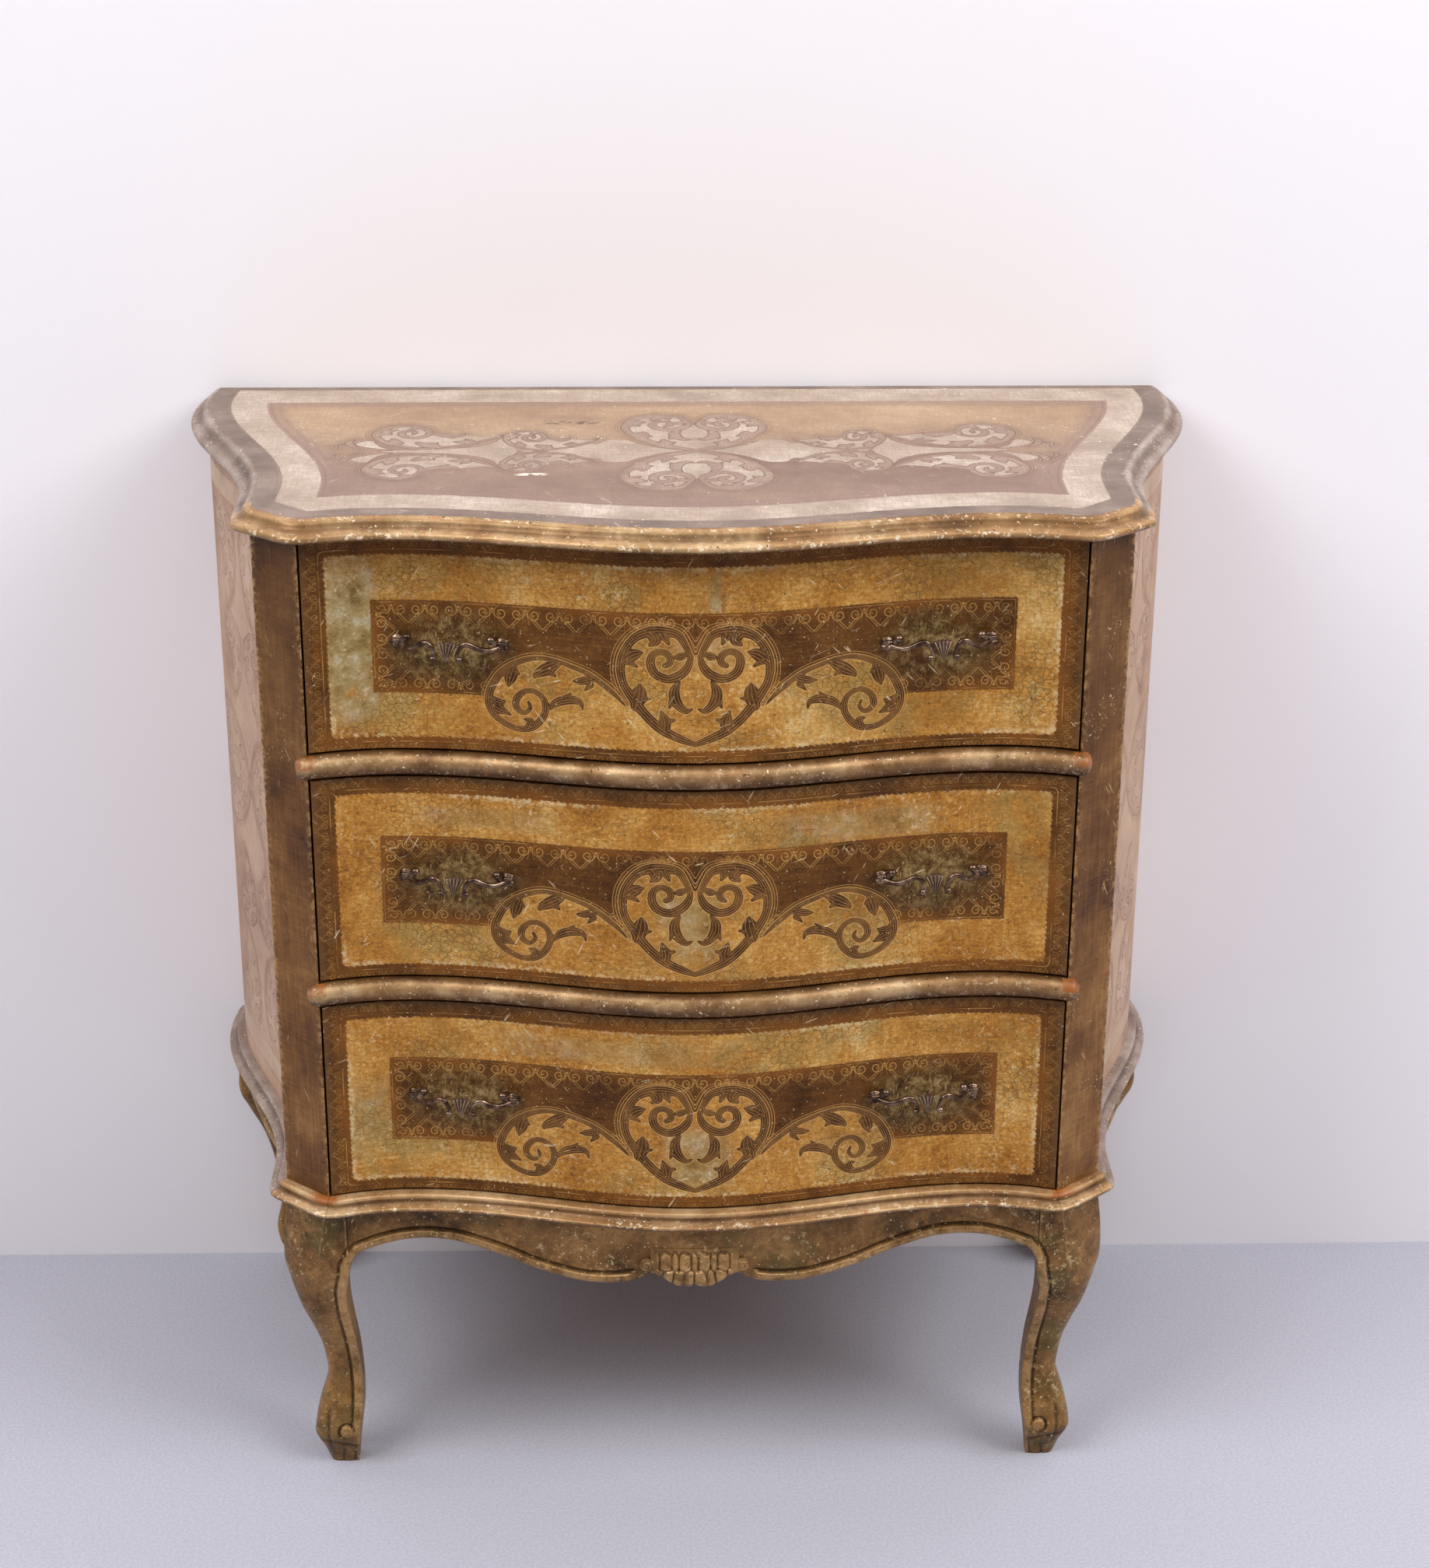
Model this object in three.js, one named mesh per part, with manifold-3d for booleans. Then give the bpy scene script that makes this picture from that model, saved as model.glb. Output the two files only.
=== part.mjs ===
// Commode chest with a serpentine front: three drawers between canted corners, on four cabriole legs.
// Millimetres, +Z up, front towards -Y. The origin is on the floor under the middle of the chest.

import * as THREE from 'three';
import { mergeVertices } from 'three/addons/utils/BufferGeometryUtils.js';
import loadManifold from 'manifold-3d';

const wasm = await loadManifold();
wasm.setup();

// Heights
const totalHeight = 809;
const topThickness = 17;
const drawerCount = 3;
const openingHeight = 164;        // clear height of one drawer opening
const railHeight = 18.5;          // divider between two drawers
const mouldingHeight = 12.5;      // moulded frame that the case stands on

// Plan of the case, with y measured back from the inner edges of the canted corners
const frontHalf = 280;            // middle to the inner edge of a canted corner
const hollowHalf = 217;           // middle to the deepest line of a hollow
const bellyProud = 23;            // how far the belly stands in front of those edges
const hollowDepth = 10.5;         // how far the hollows lie behind them
const cantWidth = 36;             // canted corner, measured across the front
const cantDepth = 30;             // and from front to back
const sideStraight = 40;          // straight length of a side behind its canted corner
const sideRun = 240;              // from there to the widest place
const sideFlare = 64;             // how much wider the side is at that place
const caseDepth = 347;            // back of the case

// Overhang of the top's upper edge, and what its moulded nose adds to it
const topOverFront = 9.5;
const topOverCant = 6;
const topOverSide = -2;           // at the sides the upper edge lies inside the case
const noseReach = 15;

// Moulded frame under the case
const mouldingProud = 14;         // reach in front of the case
const mouldingInset = 15;         // reach inwards, under the case

// Case joinery
const fit = 0.3;                  // gap between two pieces that touch
const panelThickness = 10;
const postDepth = 58;
const postLip = 6;                // post showing behind the canted edge, in front of the side panel
const rearPostWidth = 32;
const rearPostDepth = 22;
const backThickness = 6.4;
const runnerReach = 24;           // runner showing inside the edge of an opening
const runnerSeat = 20;            // and behind the front post
const runnerThickness = 12;
const guideHeight = 22;
const guideWidth = 14;
const guideClearance = 0.8;       // running clearance beside a drawer
const kickerClearance = 1.7;      // running clearance above a drawer's sides

// Divider rails
const beadProud = 8;              // half-round nose in front of the drawer fronts
const beadLap = 9.5;              // how far the nose runs over each canted corner
const noseQuirk = 0.4;            // step between the nose and its board, above and below

// Drawers
const frontReveal = 1.5;          // gap round a drawer front
const frontThickness = 18;
const frontSoftening = 1.2;       // rounding of a drawer front's long edges
const drawerLip = 3;              // front reaches this far past the drawer's sides
const sideThickness = 11;
const sideHeight = 130;
const drawerShort = 29;           // drawers stop this far in front of the back of the case
const drawerBackThickness = 10;
const bottomThickness = 5;
const grooveDepth = 5;
const grooveHeight = 12;          // underside of the groove above the lower edge of a side

// Handles, one-piece swan-neck pulls
const screwSpacing = 64;
const handleInset = 106;          // edge of an opening to the middle of a handle
const handleRaise = 2;            // middle of a handle above the middle of the drawer front
const screwRaise = 5;             // screws above the middle of the handle
const pullProud = 20;             // reach of the pull in front of the drawer
const pullDrop = 9;               // height of its swan-neck curve
const pullRadius = 2.3;
const leafLength = 9;
const leafHeight = 10;
const leafDepth = 8;
const scrollRadius = 3.5;         // large scroll inside each screw
const curlRadius = 2.8;           // small scroll beside the shell
const pullShellWidth = 18;
const pullShellHeight = 12;
const pullShellDepth = 6;
const postRadius = 3.2;

// Aprons and their carved shell
const apronDrop = 56;             // lowest point of the front apron under the moulded frame
const apronThickness = 20;
const sideApronThickness = 16;
const sideApronDrop = 50;
const apronBeadHeight = 7.5;
const apronBeadProud = 3.2;
const shellHalf = 34;
const shellTop = 22;              // top of the shell under the moulded frame
const shellHeight = 33;
const shellProud = 7;
const fluteDepth = 2.2;
const fluteCount = 7;
const shellScrollPlace = 37;      // middle to the centre of a scroll beside the shell
const shellScrollRadius = 5.5;
const shellScrollDrop = 36;       // its centre under the moulded frame
const rearRailHeight = 42;
const rearRailThickness = 18;

// Legs
const kneeWidth = 48;             // square of the leg under the case
const legSweep = 28;              // how far the ankle lies inside the knee
const frontKneeSwell = 5;         // how far the knee swells out sideways
const rearKneeSwell = 10;
const rearLegInset = 2;           // back of a rear leg in front of the back of the case

// Steps round the plan curves
const frontSteps = 28;
const sideSteps = 14;

// Heights and places worked out from those sizes
const caseTop = totalHeight - topThickness;
const caseFloor = caseTop - drawerCount * openingHeight - (drawerCount - 1) * railHeight;
const legTop = caseFloor - mouldingHeight;
const cantHalf = frontHalf + cantWidth;
const sideTurn = cantDepth + sideStraight;
const boxHalf = frontHalf - frontReveal - drawerLip;
const drawerBack = caseDepth - drawerShort;
const planShift = (bellyProud + topOverFront + noseReach - caseDepth) / 2;

// Finishes
function finish(color, roughness, metalness) {
  return { color, roughness, metalness };
}

const goldLeaf = finish(0xb08c50, 0.45, 0.35);
const bronzeGilt = finish(0x76583a, 0.5, 0.3);
const mouldingGilt = finish(0xb0906a, 0.4, 0.4);
const topPaint = finish(0xb8a090, 0.55, 0.1);
const sidePaint = finish(0xb09686, 0.6, 0.1);
const legGilt = finish(0x7c6440, 0.5, 0.3);
const darkBronze = finish(0x3a302e, 0.4, 0.8);
const bareWood = finish(0xb39468, 0.75, 0);

const chest = new THREE.Group();
chest.position.y = planShift;

function addPiece(name, geometry, look, parent = chest) {
  geometry.computeVertexNormals();
  const mesh = new THREE.Mesh(geometry, new THREE.MeshStandardMaterial(look));
  mesh.name = name;
  parent.add(mesh);
  return mesh;
}

// Plan curves. The front swings from the hollows out to the belly and falls away to the corners.
function frontCurve(x) {
  const reach = Math.abs(x);
  if (reach <= hollowHalf) {
    const swing = (bellyProud + hollowDepth) / 2;
    return hollowDepth - swing - swing * Math.cos((Math.PI * reach) / hollowHalf);
  }
  const fall = (reach - hollowHalf) / (frontHalf - hollowHalf);
  return hollowDepth * (1 - fall * fall);
}

// Half width of the case at a distance back: straight at first, then a slow flare.
function sideCurve(y) {
  const turn = Math.max(0, (y - sideTurn) / sideRun);
  return cantHalf + (sideFlare / 2) * (1 - Math.cos(Math.PI * turn));
}

// Face of a canted corner at a distance from the middle.
function cantLine(x) {
  return ((Math.abs(x) - frontHalf) * cantDepth) / cantWidth;
}

function spread(from, to, steps) {
  return Array.from({ length: steps + 1 }, (_, i) => from + ((to - from) * i) / steps);
}

// Outline of the case from its left back corner round the front to its right back corner.
const sideStations = spread(sideTurn, caseDepth, sideSteps);
const leftSide = [...sideStations].reverse().map((y) => [-sideCurve(y), y]);
const frontStations = spread(-frontHalf, frontHalf, frontSteps);
const rightSide = sideStations.map((y) => [sideCurve(y), y]);
const caseOutline = [
  ...leftSide,
  [-cantHalf, cantDepth],
  ...frontStations.map((x) => [x, frontCurve(x)]),
  [cantHalf, cantDepth],
  ...rightSide,
];
const leftEar = leftSide.length;
const leftCorner = leftEar + 1;
const rightCorner = leftCorner + frontSteps;
const rightEar = rightCorner + 1;

// The outline moved outwards, by its own distance in front, at the canted corners and at the sides.
// Neighbouring edges keep a common mitre, and both ends stay on the line of the back.
function offsetOutline(front, cant, side) {
  const distances = caseOutline.slice(1).map((_, i) => {
    if (i < leftEar || i >= rightEar) return side;
    return i < leftCorner || i >= rightCorner ? cant : front;
  });
  const normals = caseOutline.slice(1).map((end, i) => {
    const [dx, dy] = [end[0] - caseOutline[i][0], end[1] - caseOutline[i][1]];
    const length = Math.hypot(dx, dy);
    return [dy / length, -dx / length];
  });
  return caseOutline.map(([x, y], i) => {
    if (i === 0) return [x + distances[0] / normals[0][0], y];
    if (i === caseOutline.length - 1) return [x + distances[i - 1] / normals[i - 1][0], y];
    const [a, b] = [normals[i - 1], normals[i]];
    const [da, db] = [distances[i - 1], distances[i]];
    const cosine = a[0] * b[0] + a[1] * b[1];
    if (da === db) {
      return [x + (da * (a[0] + b[0])) / (1 + cosine), y + (da * (a[1] + b[1])) / (1 + cosine)];
    }
    const sine = 1 - cosine * cosine;
    const [pa, pb] = [(da - db * cosine) / sine, (db - da * cosine) / sine];
    return [x + pa * a[0] + pb * b[0], y + pa * a[1] + pb * b[1]];
  });
}

// Closed body through rings of equal length, with flat ends.
function ringCap(ring) {
  const normal = new THREE.Vector3();
  ring.forEach((p, i) => {
    const q = ring[(i + 1) % ring.length];
    normal.x += (p[1] - q[1]) * (p[2] + q[2]);
    normal.y += (p[2] - q[2]) * (p[0] + q[0]);
    normal.z += (p[0] - q[0]) * (p[1] + q[1]);
  });
  const size = normal.toArray().map(Math.abs);
  const main = size.indexOf(Math.max(...size));
  const [u, v] = [(main + 1) % 3, (main + 2) % 3];
  const flat = ring.map((p) => new THREE.Vector2(p[u], p[v]));
  const faces = THREE.ShapeUtils.triangulateShape(flat, []);
  const area = faces.reduce((sum, [a, b, c]) => {
    const [p, q, r] = [flat[a], flat[b], flat[c]];
    return sum + (q.x - p.x) * (r.y - p.y) - (q.y - p.y) * (r.x - p.x);
  }, 0);
  const sameWay = area * normal.getComponent(main) > 0;
  return sameWay ? faces : faces.map(([a, b, c]) => [a, c, b]);
}

function signedVolume(points, faces) {
  return faces.reduce((sum, [a, b, c]) => {
    const [p, q, r] = [a, b, c].map((i) => new THREE.Vector3(...points[i]));
    return sum + p.dot(q.cross(r));
  }, 0);
}

function loft(rings) {
  const count = rings[0].length;
  const points = rings.flat();
  const faces = [];
  for (let ring = 0; ring < rings.length - 1; ring++) {
    for (let i = 0; i < count; i++) {
      const next = (i + 1) % count;
      const [a, b] = [ring * count + i, ring * count + next];
      faces.push([a, b, b + count], [a, b + count, a + count]);
    }
  }
  const last = (rings.length - 1) * count;
  ringCap(rings[0]).forEach(([a, b, c]) => faces.push([a, c, b]));
  ringCap(rings[rings.length - 1]).forEach(([a, b, c]) => faces.push([a + last, b + last, c + last]));
  const outward = signedVolume(points, faces) > 0 ? faces : faces.map(([a, b, c]) => [a, c, b]);
  const geometry = new THREE.BufferGeometry();
  geometry.setAttribute('position', new THREE.Float32BufferAttribute(points.flat(), 3));
  geometry.setIndex(outward.flat());
  return geometry;
}

// Upright board of a plan outline between two heights.
function upright(outline, low, high) {
  return loft([low, high].map((z) => outline.map(([x, y]) => [x, y, z])));
}

// Bar of an (x, z) section between two distances back.
function bar(section, front, back) {
  return loft([front, back].map((y) => section.map(([x, z]) => [x, y, z])));
}

function rectangle(x0, x1, y0, y1) {
  return [[x0, y0], [x1, y0], [x1, y1], [x0, y1]];
}

function mirrored(points, side) {
  return points.map(([x, ...rest]) => [side * x, ...rest]);
}

function toSolid(geometry) {
  const bare = new THREE.BufferGeometry();
  bare.setAttribute('position', geometry.getAttribute('position').clone());
  if (geometry.index) bare.setIndex(geometry.index.clone());
  const merged = mergeVertices(bare);
  return new wasm.Manifold(new wasm.Mesh({
    numProp: 3,
    vertProperties: new Float32Array(merged.getAttribute('position').array),
    triVerts: new Uint32Array(merged.index.array),
  }));
}

function joined(geometries) {
  const solid = geometries.map(toSolid).reduce((whole, piece) => whole.add(piece));
  const { vertProperties, triVerts } = solid.getMesh();
  const geometry = new THREE.BufferGeometry();
  geometry.setAttribute('position', new THREE.BufferAttribute(new Float32Array(vertProperties), 3));
  geometry.setIndex(new THREE.BufferAttribute(new Uint32Array(triVerts), 1));
  return geometry;
}

// Top: a small bead under the flat, a cove and a rounded nose, then back under to the case.
// Reach is a share of the nose's reach, and drop a share of the top's thickness.
const topEdgeShares = [
  [0, 0], [0.22, 0.05], [0.4, 0.15], [0.47, 0.3], [0.55, 0.42], [0.8, 0.5], [0.96, 0.6],
  [1, 0.72], [0.92, 0.84], [0.6, 0.91], [0.16, 1],
];

function topBoard() {
  return loft(topEdgeShares.map(([reach, drop]) => {
    const nose = reach * noseReach;
    const outline = offsetOutline(topOverFront + nose, topOverCant + nose, topOverSide + nose);
    return outline.map(([x, y]) => [x, y, totalHeight - drop * topThickness]);
  }));
}

addPiece('top_board', topBoard(), topPaint);

// Moulded frame: a bead at the case, a cove and a lower bead, mitred at each corner.
// Reach is a share of what stands in front of the case, and drop a share of the height.
const mouldingEdgeShares = [
  [0.3, 0], [0.45, 0.05], [0.53, 0.2], [0.5, 0.34], [0.54, 0.47], [0.68, 0.6],
  [0.84, 0.66], [0.95, 0.7], [1, 0.82], [0.95, 0.95], [0.86, 1],
];

const mouldingSection = [
  { reach: -mouldingInset, z: caseFloor },
  ...mouldingEdgeShares.map(([reach, drop]) => ({
    reach: reach * mouldingProud,
    z: caseFloor - drop * mouldingHeight,
  })),
  { reach: -mouldingInset, z: legTop },
];
const mouldingOutlines = mouldingSection.map(({ reach }) => offsetOutline(reach, reach, reach));

// Each end is drawn in by half a fit along its own edge, so two lengths meet at an open mitre.
function drawnIn(outline, i, towards) {
  const [x, y] = outline[i];
  const [dx, dy] = [outline[towards][0] - x, outline[towards][1] - y];
  const share = fit / 2 / Math.hypot(dx, dy);
  return [x + dx * share, y + dy * share];
}

function mouldingLength(from, to) {
  const rings = [];
  for (let i = from; i <= to; i++) {
    rings.push(mouldingOutlines.map((outline, k) => {
      let place = outline[i];
      if (i === from && from > 0) place = drawnIn(outline, i, i + 1);
      if (i === to && to < outline.length - 1) place = drawnIn(outline, i, i - 1);
      return [...place, mouldingSection[k].z];
    }));
  }
  return loft(rings);
}

const lastStation = caseOutline.length - 1;
addPiece('base_moulding_left', mouldingLength(0, leftEar), mouldingGilt);
addPiece('base_moulding_front_left', mouldingLength(leftEar, leftCorner), mouldingGilt);
addPiece('base_moulding_front', mouldingLength(leftCorner, rightCorner), mouldingGilt);
addPiece('base_moulding_front_right', mouldingLength(rightCorner, rightEar), mouldingGilt);
addPiece('base_moulding_right', mouldingLength(rightEar, lastStation), mouldingGilt);

// Bottom board inside the moulded frame
const bottomInset = -mouldingInset - fit;
addPiece(
  'bottom_board',
  upright(offsetOutline(bottomInset, bottomInset, bottomInset), legTop, caseFloor),
  bareWood,
);

// Case between the moulded frame and the top
const caseLow = caseFloor + fit;
const caseHigh = caseTop - fit;
const panelFront = cantDepth + postLip + fit;
const panelStations = [panelFront, ...sideStations];

function sidePanel(side) {
  const outer = panelStations.map((y) => [sideCurve(y), y]);
  const inner = panelStations.map((y) => [sideCurve(y) - panelThickness, y]).reverse();
  return upright(mirrored([...outer, ...inner], side), caseLow, caseHigh);
}

function frontPost(side) {
  const rebate = cantHalf - panelThickness - fit;
  const plan = [
    [frontHalf, 0], [cantHalf, cantDepth], [cantHalf, cantDepth + postLip],
    [rebate, cantDepth + postLip], [rebate, postDepth], [frontHalf, postDepth],
  ];
  return upright(mirrored(plan, side), caseLow, caseHigh);
}

const backFace = caseDepth - backThickness;
const rearInner = Math.min(sideCurve(caseDepth), sideCurve(backFace - rearPostDepth)) - panelThickness - fit;

function rearPost(side) {
  const plan = rectangle(rearInner - rearPostWidth, rearInner, backFace - fit - rearPostDepth, backFace - fit);
  return upright(mirrored(plan, side), caseLow, caseHigh);
}

for (const [name, side] of [['left', -1], ['right', 1]]) {
  addPiece(`${name}_side_panel`, sidePanel(side), sidePaint);
  addPiece(`front_${name}_post`, frontPost(side), bronzeGilt);
  addPiece(`rear_${name}_post`, rearPost(side), bareWood);
}

addPiece(
  'back_panel',
  upright(rectangle(-rearInner, rearInner, backFace, caseDepth), caseLow, caseHigh),
  bareWood,
);

// Divider rails. The half-round nose follows the front and dies away on the canted corners.
// Nose section: reach as a share of what stands proud, and rise as a share of half its height.
const noseShares = [[0, -1], [0.5, -0.87], [0.87, -0.5], [1, 0], [0.87, 0.5], [0.5, 0.87], [0, 1]];
// Laps: place along the lap, and how full the nose still is there.
const lapShares = [[0, 1], [0.4, 0.94], [0.8, 0.66], [1, 0.25]];

function noseRing(x, front, root, seat, middle, fullness) {
  const rise = (railHeight / 2 - noseQuirk) * fullness;
  const nose = noseShares.map(([reach, up]) => [x, root + reach * (front - root), middle + up * rise]);
  return [[x, seat, middle - rise], ...nose, [x, seat, middle + rise]];
}

function dividerRail(low) {
  const middle = low + railHeight / 2;
  const rings = frontStations.slice(1, -1).map((x) => {
    const face = frontCurve(x);
    return noseRing(x, face - beadProud, face + fit, face + beadProud, middle, 1);
  });
  const laps = lapShares.map(([along, fullness]) => {
    const x = frontHalf + along * beadLap;
    const seat = cantLine(x) - fit;
    const front = seat - (seat - frontCurve(x) + beadProud) * fullness;
    return noseRing(x, front, Math.min(front + beadProud * fullness, seat - fit), seat, middle, fullness);
  });
  const leftLaps = laps.map((points) => mirrored(points, -1)).reverse();
  const half = frontHalf - fit;
  const face = [-half, ...frontStations.slice(1, -1), half].map((x) => [x, frontCurve(x)]);
  const board = upright([...face, [half, postDepth], [-half, postDepth]], low, low + railHeight);
  return joined([loft([...leftLaps, ...rings, ...laps]), board]);
}

const openings = spread(0, drawerCount - 1, drawerCount - 1)
  .map((level) => caseFloor + level * (openingHeight + railHeight));
addPiece('lower_divider_rail', dividerRail(openings[1] - railHeight), mouldingGilt);
addPiece('upper_divider_rail', dividerRail(openings[2] - railHeight), mouldingGilt);

// Runners with their guides, guides alone on the bottom board, and kickers under the top
const railSpan = [postDepth + fit, backFace - fit];
const runnerInner = frontHalf - runnerReach;
const runnerOuter = frontHalf + runnerSeat;
const guideInner = boxHalf + guideClearance;

for (const [name, side] of [['left', -1], ['right', 1]]) {
  const guide = rectangle(guideInner, guideInner + guideWidth, caseLow, caseFloor + guideHeight);
  addPiece(`lower_${name}_guide`, bar(mirrored(guide, side), ...railSpan), bareWood);
  for (const [level, low] of [['middle', openings[1]], ['upper', openings[2]]]) {
    const section = [
      [runnerInner, low - runnerThickness], [runnerOuter, low - runnerThickness],
      [runnerOuter, low + guideHeight], [guideInner, low + guideHeight],
      [guideInner, low], [runnerInner, low],
    ];
    addPiece(`${level}_${name}_runner`, bar(mirrored(section, side), ...railSpan), bareWood);
  }
  const kickerLow = openings[2] + fit + sideHeight + kickerClearance;
  const kicker = rectangle(runnerInner, runnerOuter, kickerLow, caseHigh);
  addPiece(`${name}_kicker`, bar(mirrored(kicker, side), ...railSpan), bareWood);
}

// Front apron. Its lower edge rises in an arch beside each leg and falls to a lobe beside the shell.
// Places are shares of the apron's half length, and drops shares of its deepest drop.
const apronEdgeShares = [
  [0, 0.79], [0.06, 0.79], [0.125, 0.795], [0.16, 0.895], [0.185, 0.935], [0.245, 0.985], [0.32, 1],
  [0.39, 0.955], [0.435, 0.91], [0.48, 0.86], [0.53, 0.77], [0.615, 0.65], [0.685, 0.565], [0.745, 0.535],
  [0.785, 0.53], [0.84, 0.55], [0.9, 0.605], [0.95, 0.675], [0.98, 0.745], [1, 0.93],
];
const beadStartShare = 0.17;      // the bead starts beside the shell's scrolls
// Section of the bead along the lower edge: reach in front of the apron, rise above its lower edge.
const apronBeadShares = [[0, 1], [0.75, 0.85], [1, 0.5], [0.75, 0.12], [0, 0]];
const apronTop = legTop - fit;
const apronHalf = cantHalf - kneeWidth - fit;

function apronRing(place, low, thickness, bead) {
  const points = [[0, apronTop], ...apronBeadShares.map(([reach, rise]) => [
    -reach * apronBeadProud * bead,
    low + rise * apronBeadHeight,
  ]), [thickness, low], [thickness, apronTop]];
  return points.map(([depth, z]) => place(depth, z));
}

function frontApron() {
  const half = apronEdgeShares.map(([along, drop]) => [along * apronHalf, legTop - drop * apronDrop]);
  const edge = [...mirrored(half.slice(1), -1).reverse(), ...half];
  return loft(edge.map(([x, low]) => {
    const bead = Math.abs(x) > beadStartShare * apronHalf ? 1 : 0;
    return apronRing((depth, z) => [x, frontCurve(x) + depth, z], low, apronThickness, bead);
  }));
}

addPiece('front_apron', frontApron(), legGilt);

// Shell carved as a fan of flutes between two scrolls, seated on the middle of the front apron
const shellEdgeShares = [[0, 1], [0.3, 0.985], [0.42, 0.94], [0.62, 0.9], [0.8, 0.75], [0.93, 0.62], [1, 0.45]];
const shellReliefShares = [[0, 0.35], [0.12, 0.75], [0.35, 0.95], [0.62, 1], [0.85, 0.8], [1, 0.3]];
const stepsPerFlute = 4;

function interpolate(table, at) {
  const next = Math.max(1, table.findIndex(([key]) => key >= at));
  const [[k0, v0], [k1, v1]] = [table[next - 1], table[next]];
  return v0 + ((v1 - v0) * (at - k0)) / (k1 - k0);
}

function carvedShell() {
  const high = legTop - shellTop;
  const fan = loft(spread(-1, 1, fluteCount * stepsPerFlute).map((across) => {
    const x = across * shellHalf;
    const back = frontCurve(x) - fit;
    const tall = shellHeight * interpolate(shellEdgeShares, Math.abs(across));
    const crest = 1 - across * across * 0.45;
    const groove = (fluteDepth * (1 - Math.cos(Math.PI * fluteCount * (across + 1)))) / 2;
    const front = shellReliefShares.map(([down, relief]) => {
      const stand = Math.max(relief * crest * shellProud - groove * relief, fit);
      return [x, back - stand, high - down * tall];
    });
    return [...front, [x, back, high - tall], [x, back, high]];
  }));
  const scrolls = [-1, 1].map((side) => {
    const x = side * shellScrollPlace;
    const ball = new THREE.CylinderGeometry(shellScrollRadius, shellScrollRadius * 0.7, shellProud, 10);
    const seat = frontCurve(x - side * shellScrollRadius) - fit;
    ball.translate(x, seat - shellProud / 2, legTop - shellScrollDrop);
    return ball;
  });
  return joined([fan, ...scrolls]);
}

addPiece('apron_shell', carvedShell(), legGilt);

// Legs. The section is a square with its outer corner cut back, drawn down from the knee to the ankle.
// Columns: height, draw-in of a front leg's outer faces, of a rear leg's outer face, width, cut of the
// outer corner, flatness of that cut, rounding of the other corners, and how much of the knee's swell
// is held back.
const legShares = [
  [1, 0, 0, 1, 0.66, 0.5, 0.05, 1],
  [0.916, 0, 0, 1, 0.66, 0.48, 0.05, 0.4],
  [0.857, 0, 0, 1, 0.64, 0.45, 0.06, 0.1],
  [0.798, 0, 0, 1, 0.62, 0.42, 0.08, 0],
  [0.758, 0.03, 0.06, 0.97, 0.58, 0.38, 0.1, 0],
  [0.719, 0.13, 0.16, 0.87, 0.54, 0.35, 0.14, 0],
  [0.679, 0.23, 0.27, 0.78, 0.5, 0.32, 0.17, 0],
  [0.6, 0.425, 0.56, 0.68, 0.46, 0.3, 0.2, 0],
  [0.521, 0.67, 0.75, 0.58, 0.45, 0.3, 0.2, 0],
  [0.442, 0.875, 0.88, 0.51, 0.45, 0.3, 0.2, 0],
  [0.363, 0.98, 0.96, 0.48, 0.45, 0.3, 0.2, 0],
  [0.324, 1, 0.99, 0.477, 0.45, 0.3, 0.2, 0],
  [0.284, 0.925, 0.99, 0.53, 0.45, 0.3, 0.2, 0],
  [0.205, 0.705, 0.84, 0.65, 0.42, 0.3, 0.2, 0],
  [0.146, 0.607, 0.9, 0.675, 0.42, 0.3, 0.22, 0],
  [0.118, 0.596, 0.99, 0.66, 0.42, 0.3, 0.24, 0],
  [0.087, 0.69, 1.06, 0.585, 0.45, 0.3, 0.26, 0],
  [0.055, 0.82, 1.1, 0.49, 0.45, 0.3, 0.28, 0],
  [0, 0.98, 1.15, 0.37, 0.45, 0.3, 0.3, 0],
];
const roundFlatness = 0.3;

// One corner as three points: where the cut starts, its middle and where it ends.
function cutCorner([x, y], [cutX, cutY], flatness, alongXFirst) {
  const onX = [x - cutX, y];
  const onY = [x, y - cutY];
  const middle = [x - cutX * flatness, y - cutY * flatness];
  return alongXFirst ? [onX, middle, onY] : [onY, middle, onX];
}

function legRing(x0, x1, y0, y1, cut, flatness, rounding) {
  const [outerX, outerY] = [cut, (cut * cantDepth) / cantWidth];
  return [
    ...cutCorner([x1, y0], [outerX, -outerY], flatness, true),
    ...cutCorner([x1, y1], [rounding, rounding], roundFlatness, false),
    ...cutCorner([x0, y1], [-rounding, rounding], roundFlatness, true),
    ...cutCorner([x0, y0], [-rounding, -rounding], roundFlatness, false),
  ];
}

const kneeFront = frontCurve(cantHalf - kneeWidth);

function frontLeg(side) {
  return loft(legShares.map(([height, draw, , width, cut, flatness, rounding, hold]) => {
    const size = width * kneeWidth;
    const inset = draw * legSweep;
    const swell = frontKneeSwell * (1 - hold);
    const [x1, y0] = [cantHalf + swell - inset, kneeFront + inset];
    const ring = legRing(x1 - size - swell, x1, y0, y0 + size, cut * size, flatness, rounding * size);
    return mirrored(ring, side).map(([x, y]) => [x, y, height * apronTop]);
  }));
}

const rearKneeOuter = sideCurve(caseDepth - kneeWidth / 2);
const rearLegBack = caseDepth - rearLegInset;

function rearLeg(side) {
  return loft(legShares.map(([height, , draw, width, , , rounding, hold]) => {
    const size = width * kneeWidth;
    const swell = rearKneeSwell * (1 - hold);
    const x1 = rearKneeOuter + swell - draw * legSweep;
    const round = rounding * size;
    const ring = legRing(x1 - size - swell, x1, rearLegBack - size, rearLegBack, round, roundFlatness, round);
    return mirrored(ring, side).map(([x, y]) => [x, y, height * apronTop]);
  }));
}

for (const [name, side] of [['left', -1], ['right', 1]]) {
  addPiece(`front_${name}_leg`, frontLeg(side), legGilt);
  addPiece(`rear_${name}_leg`, rearLeg(side), legGilt);
}

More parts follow.
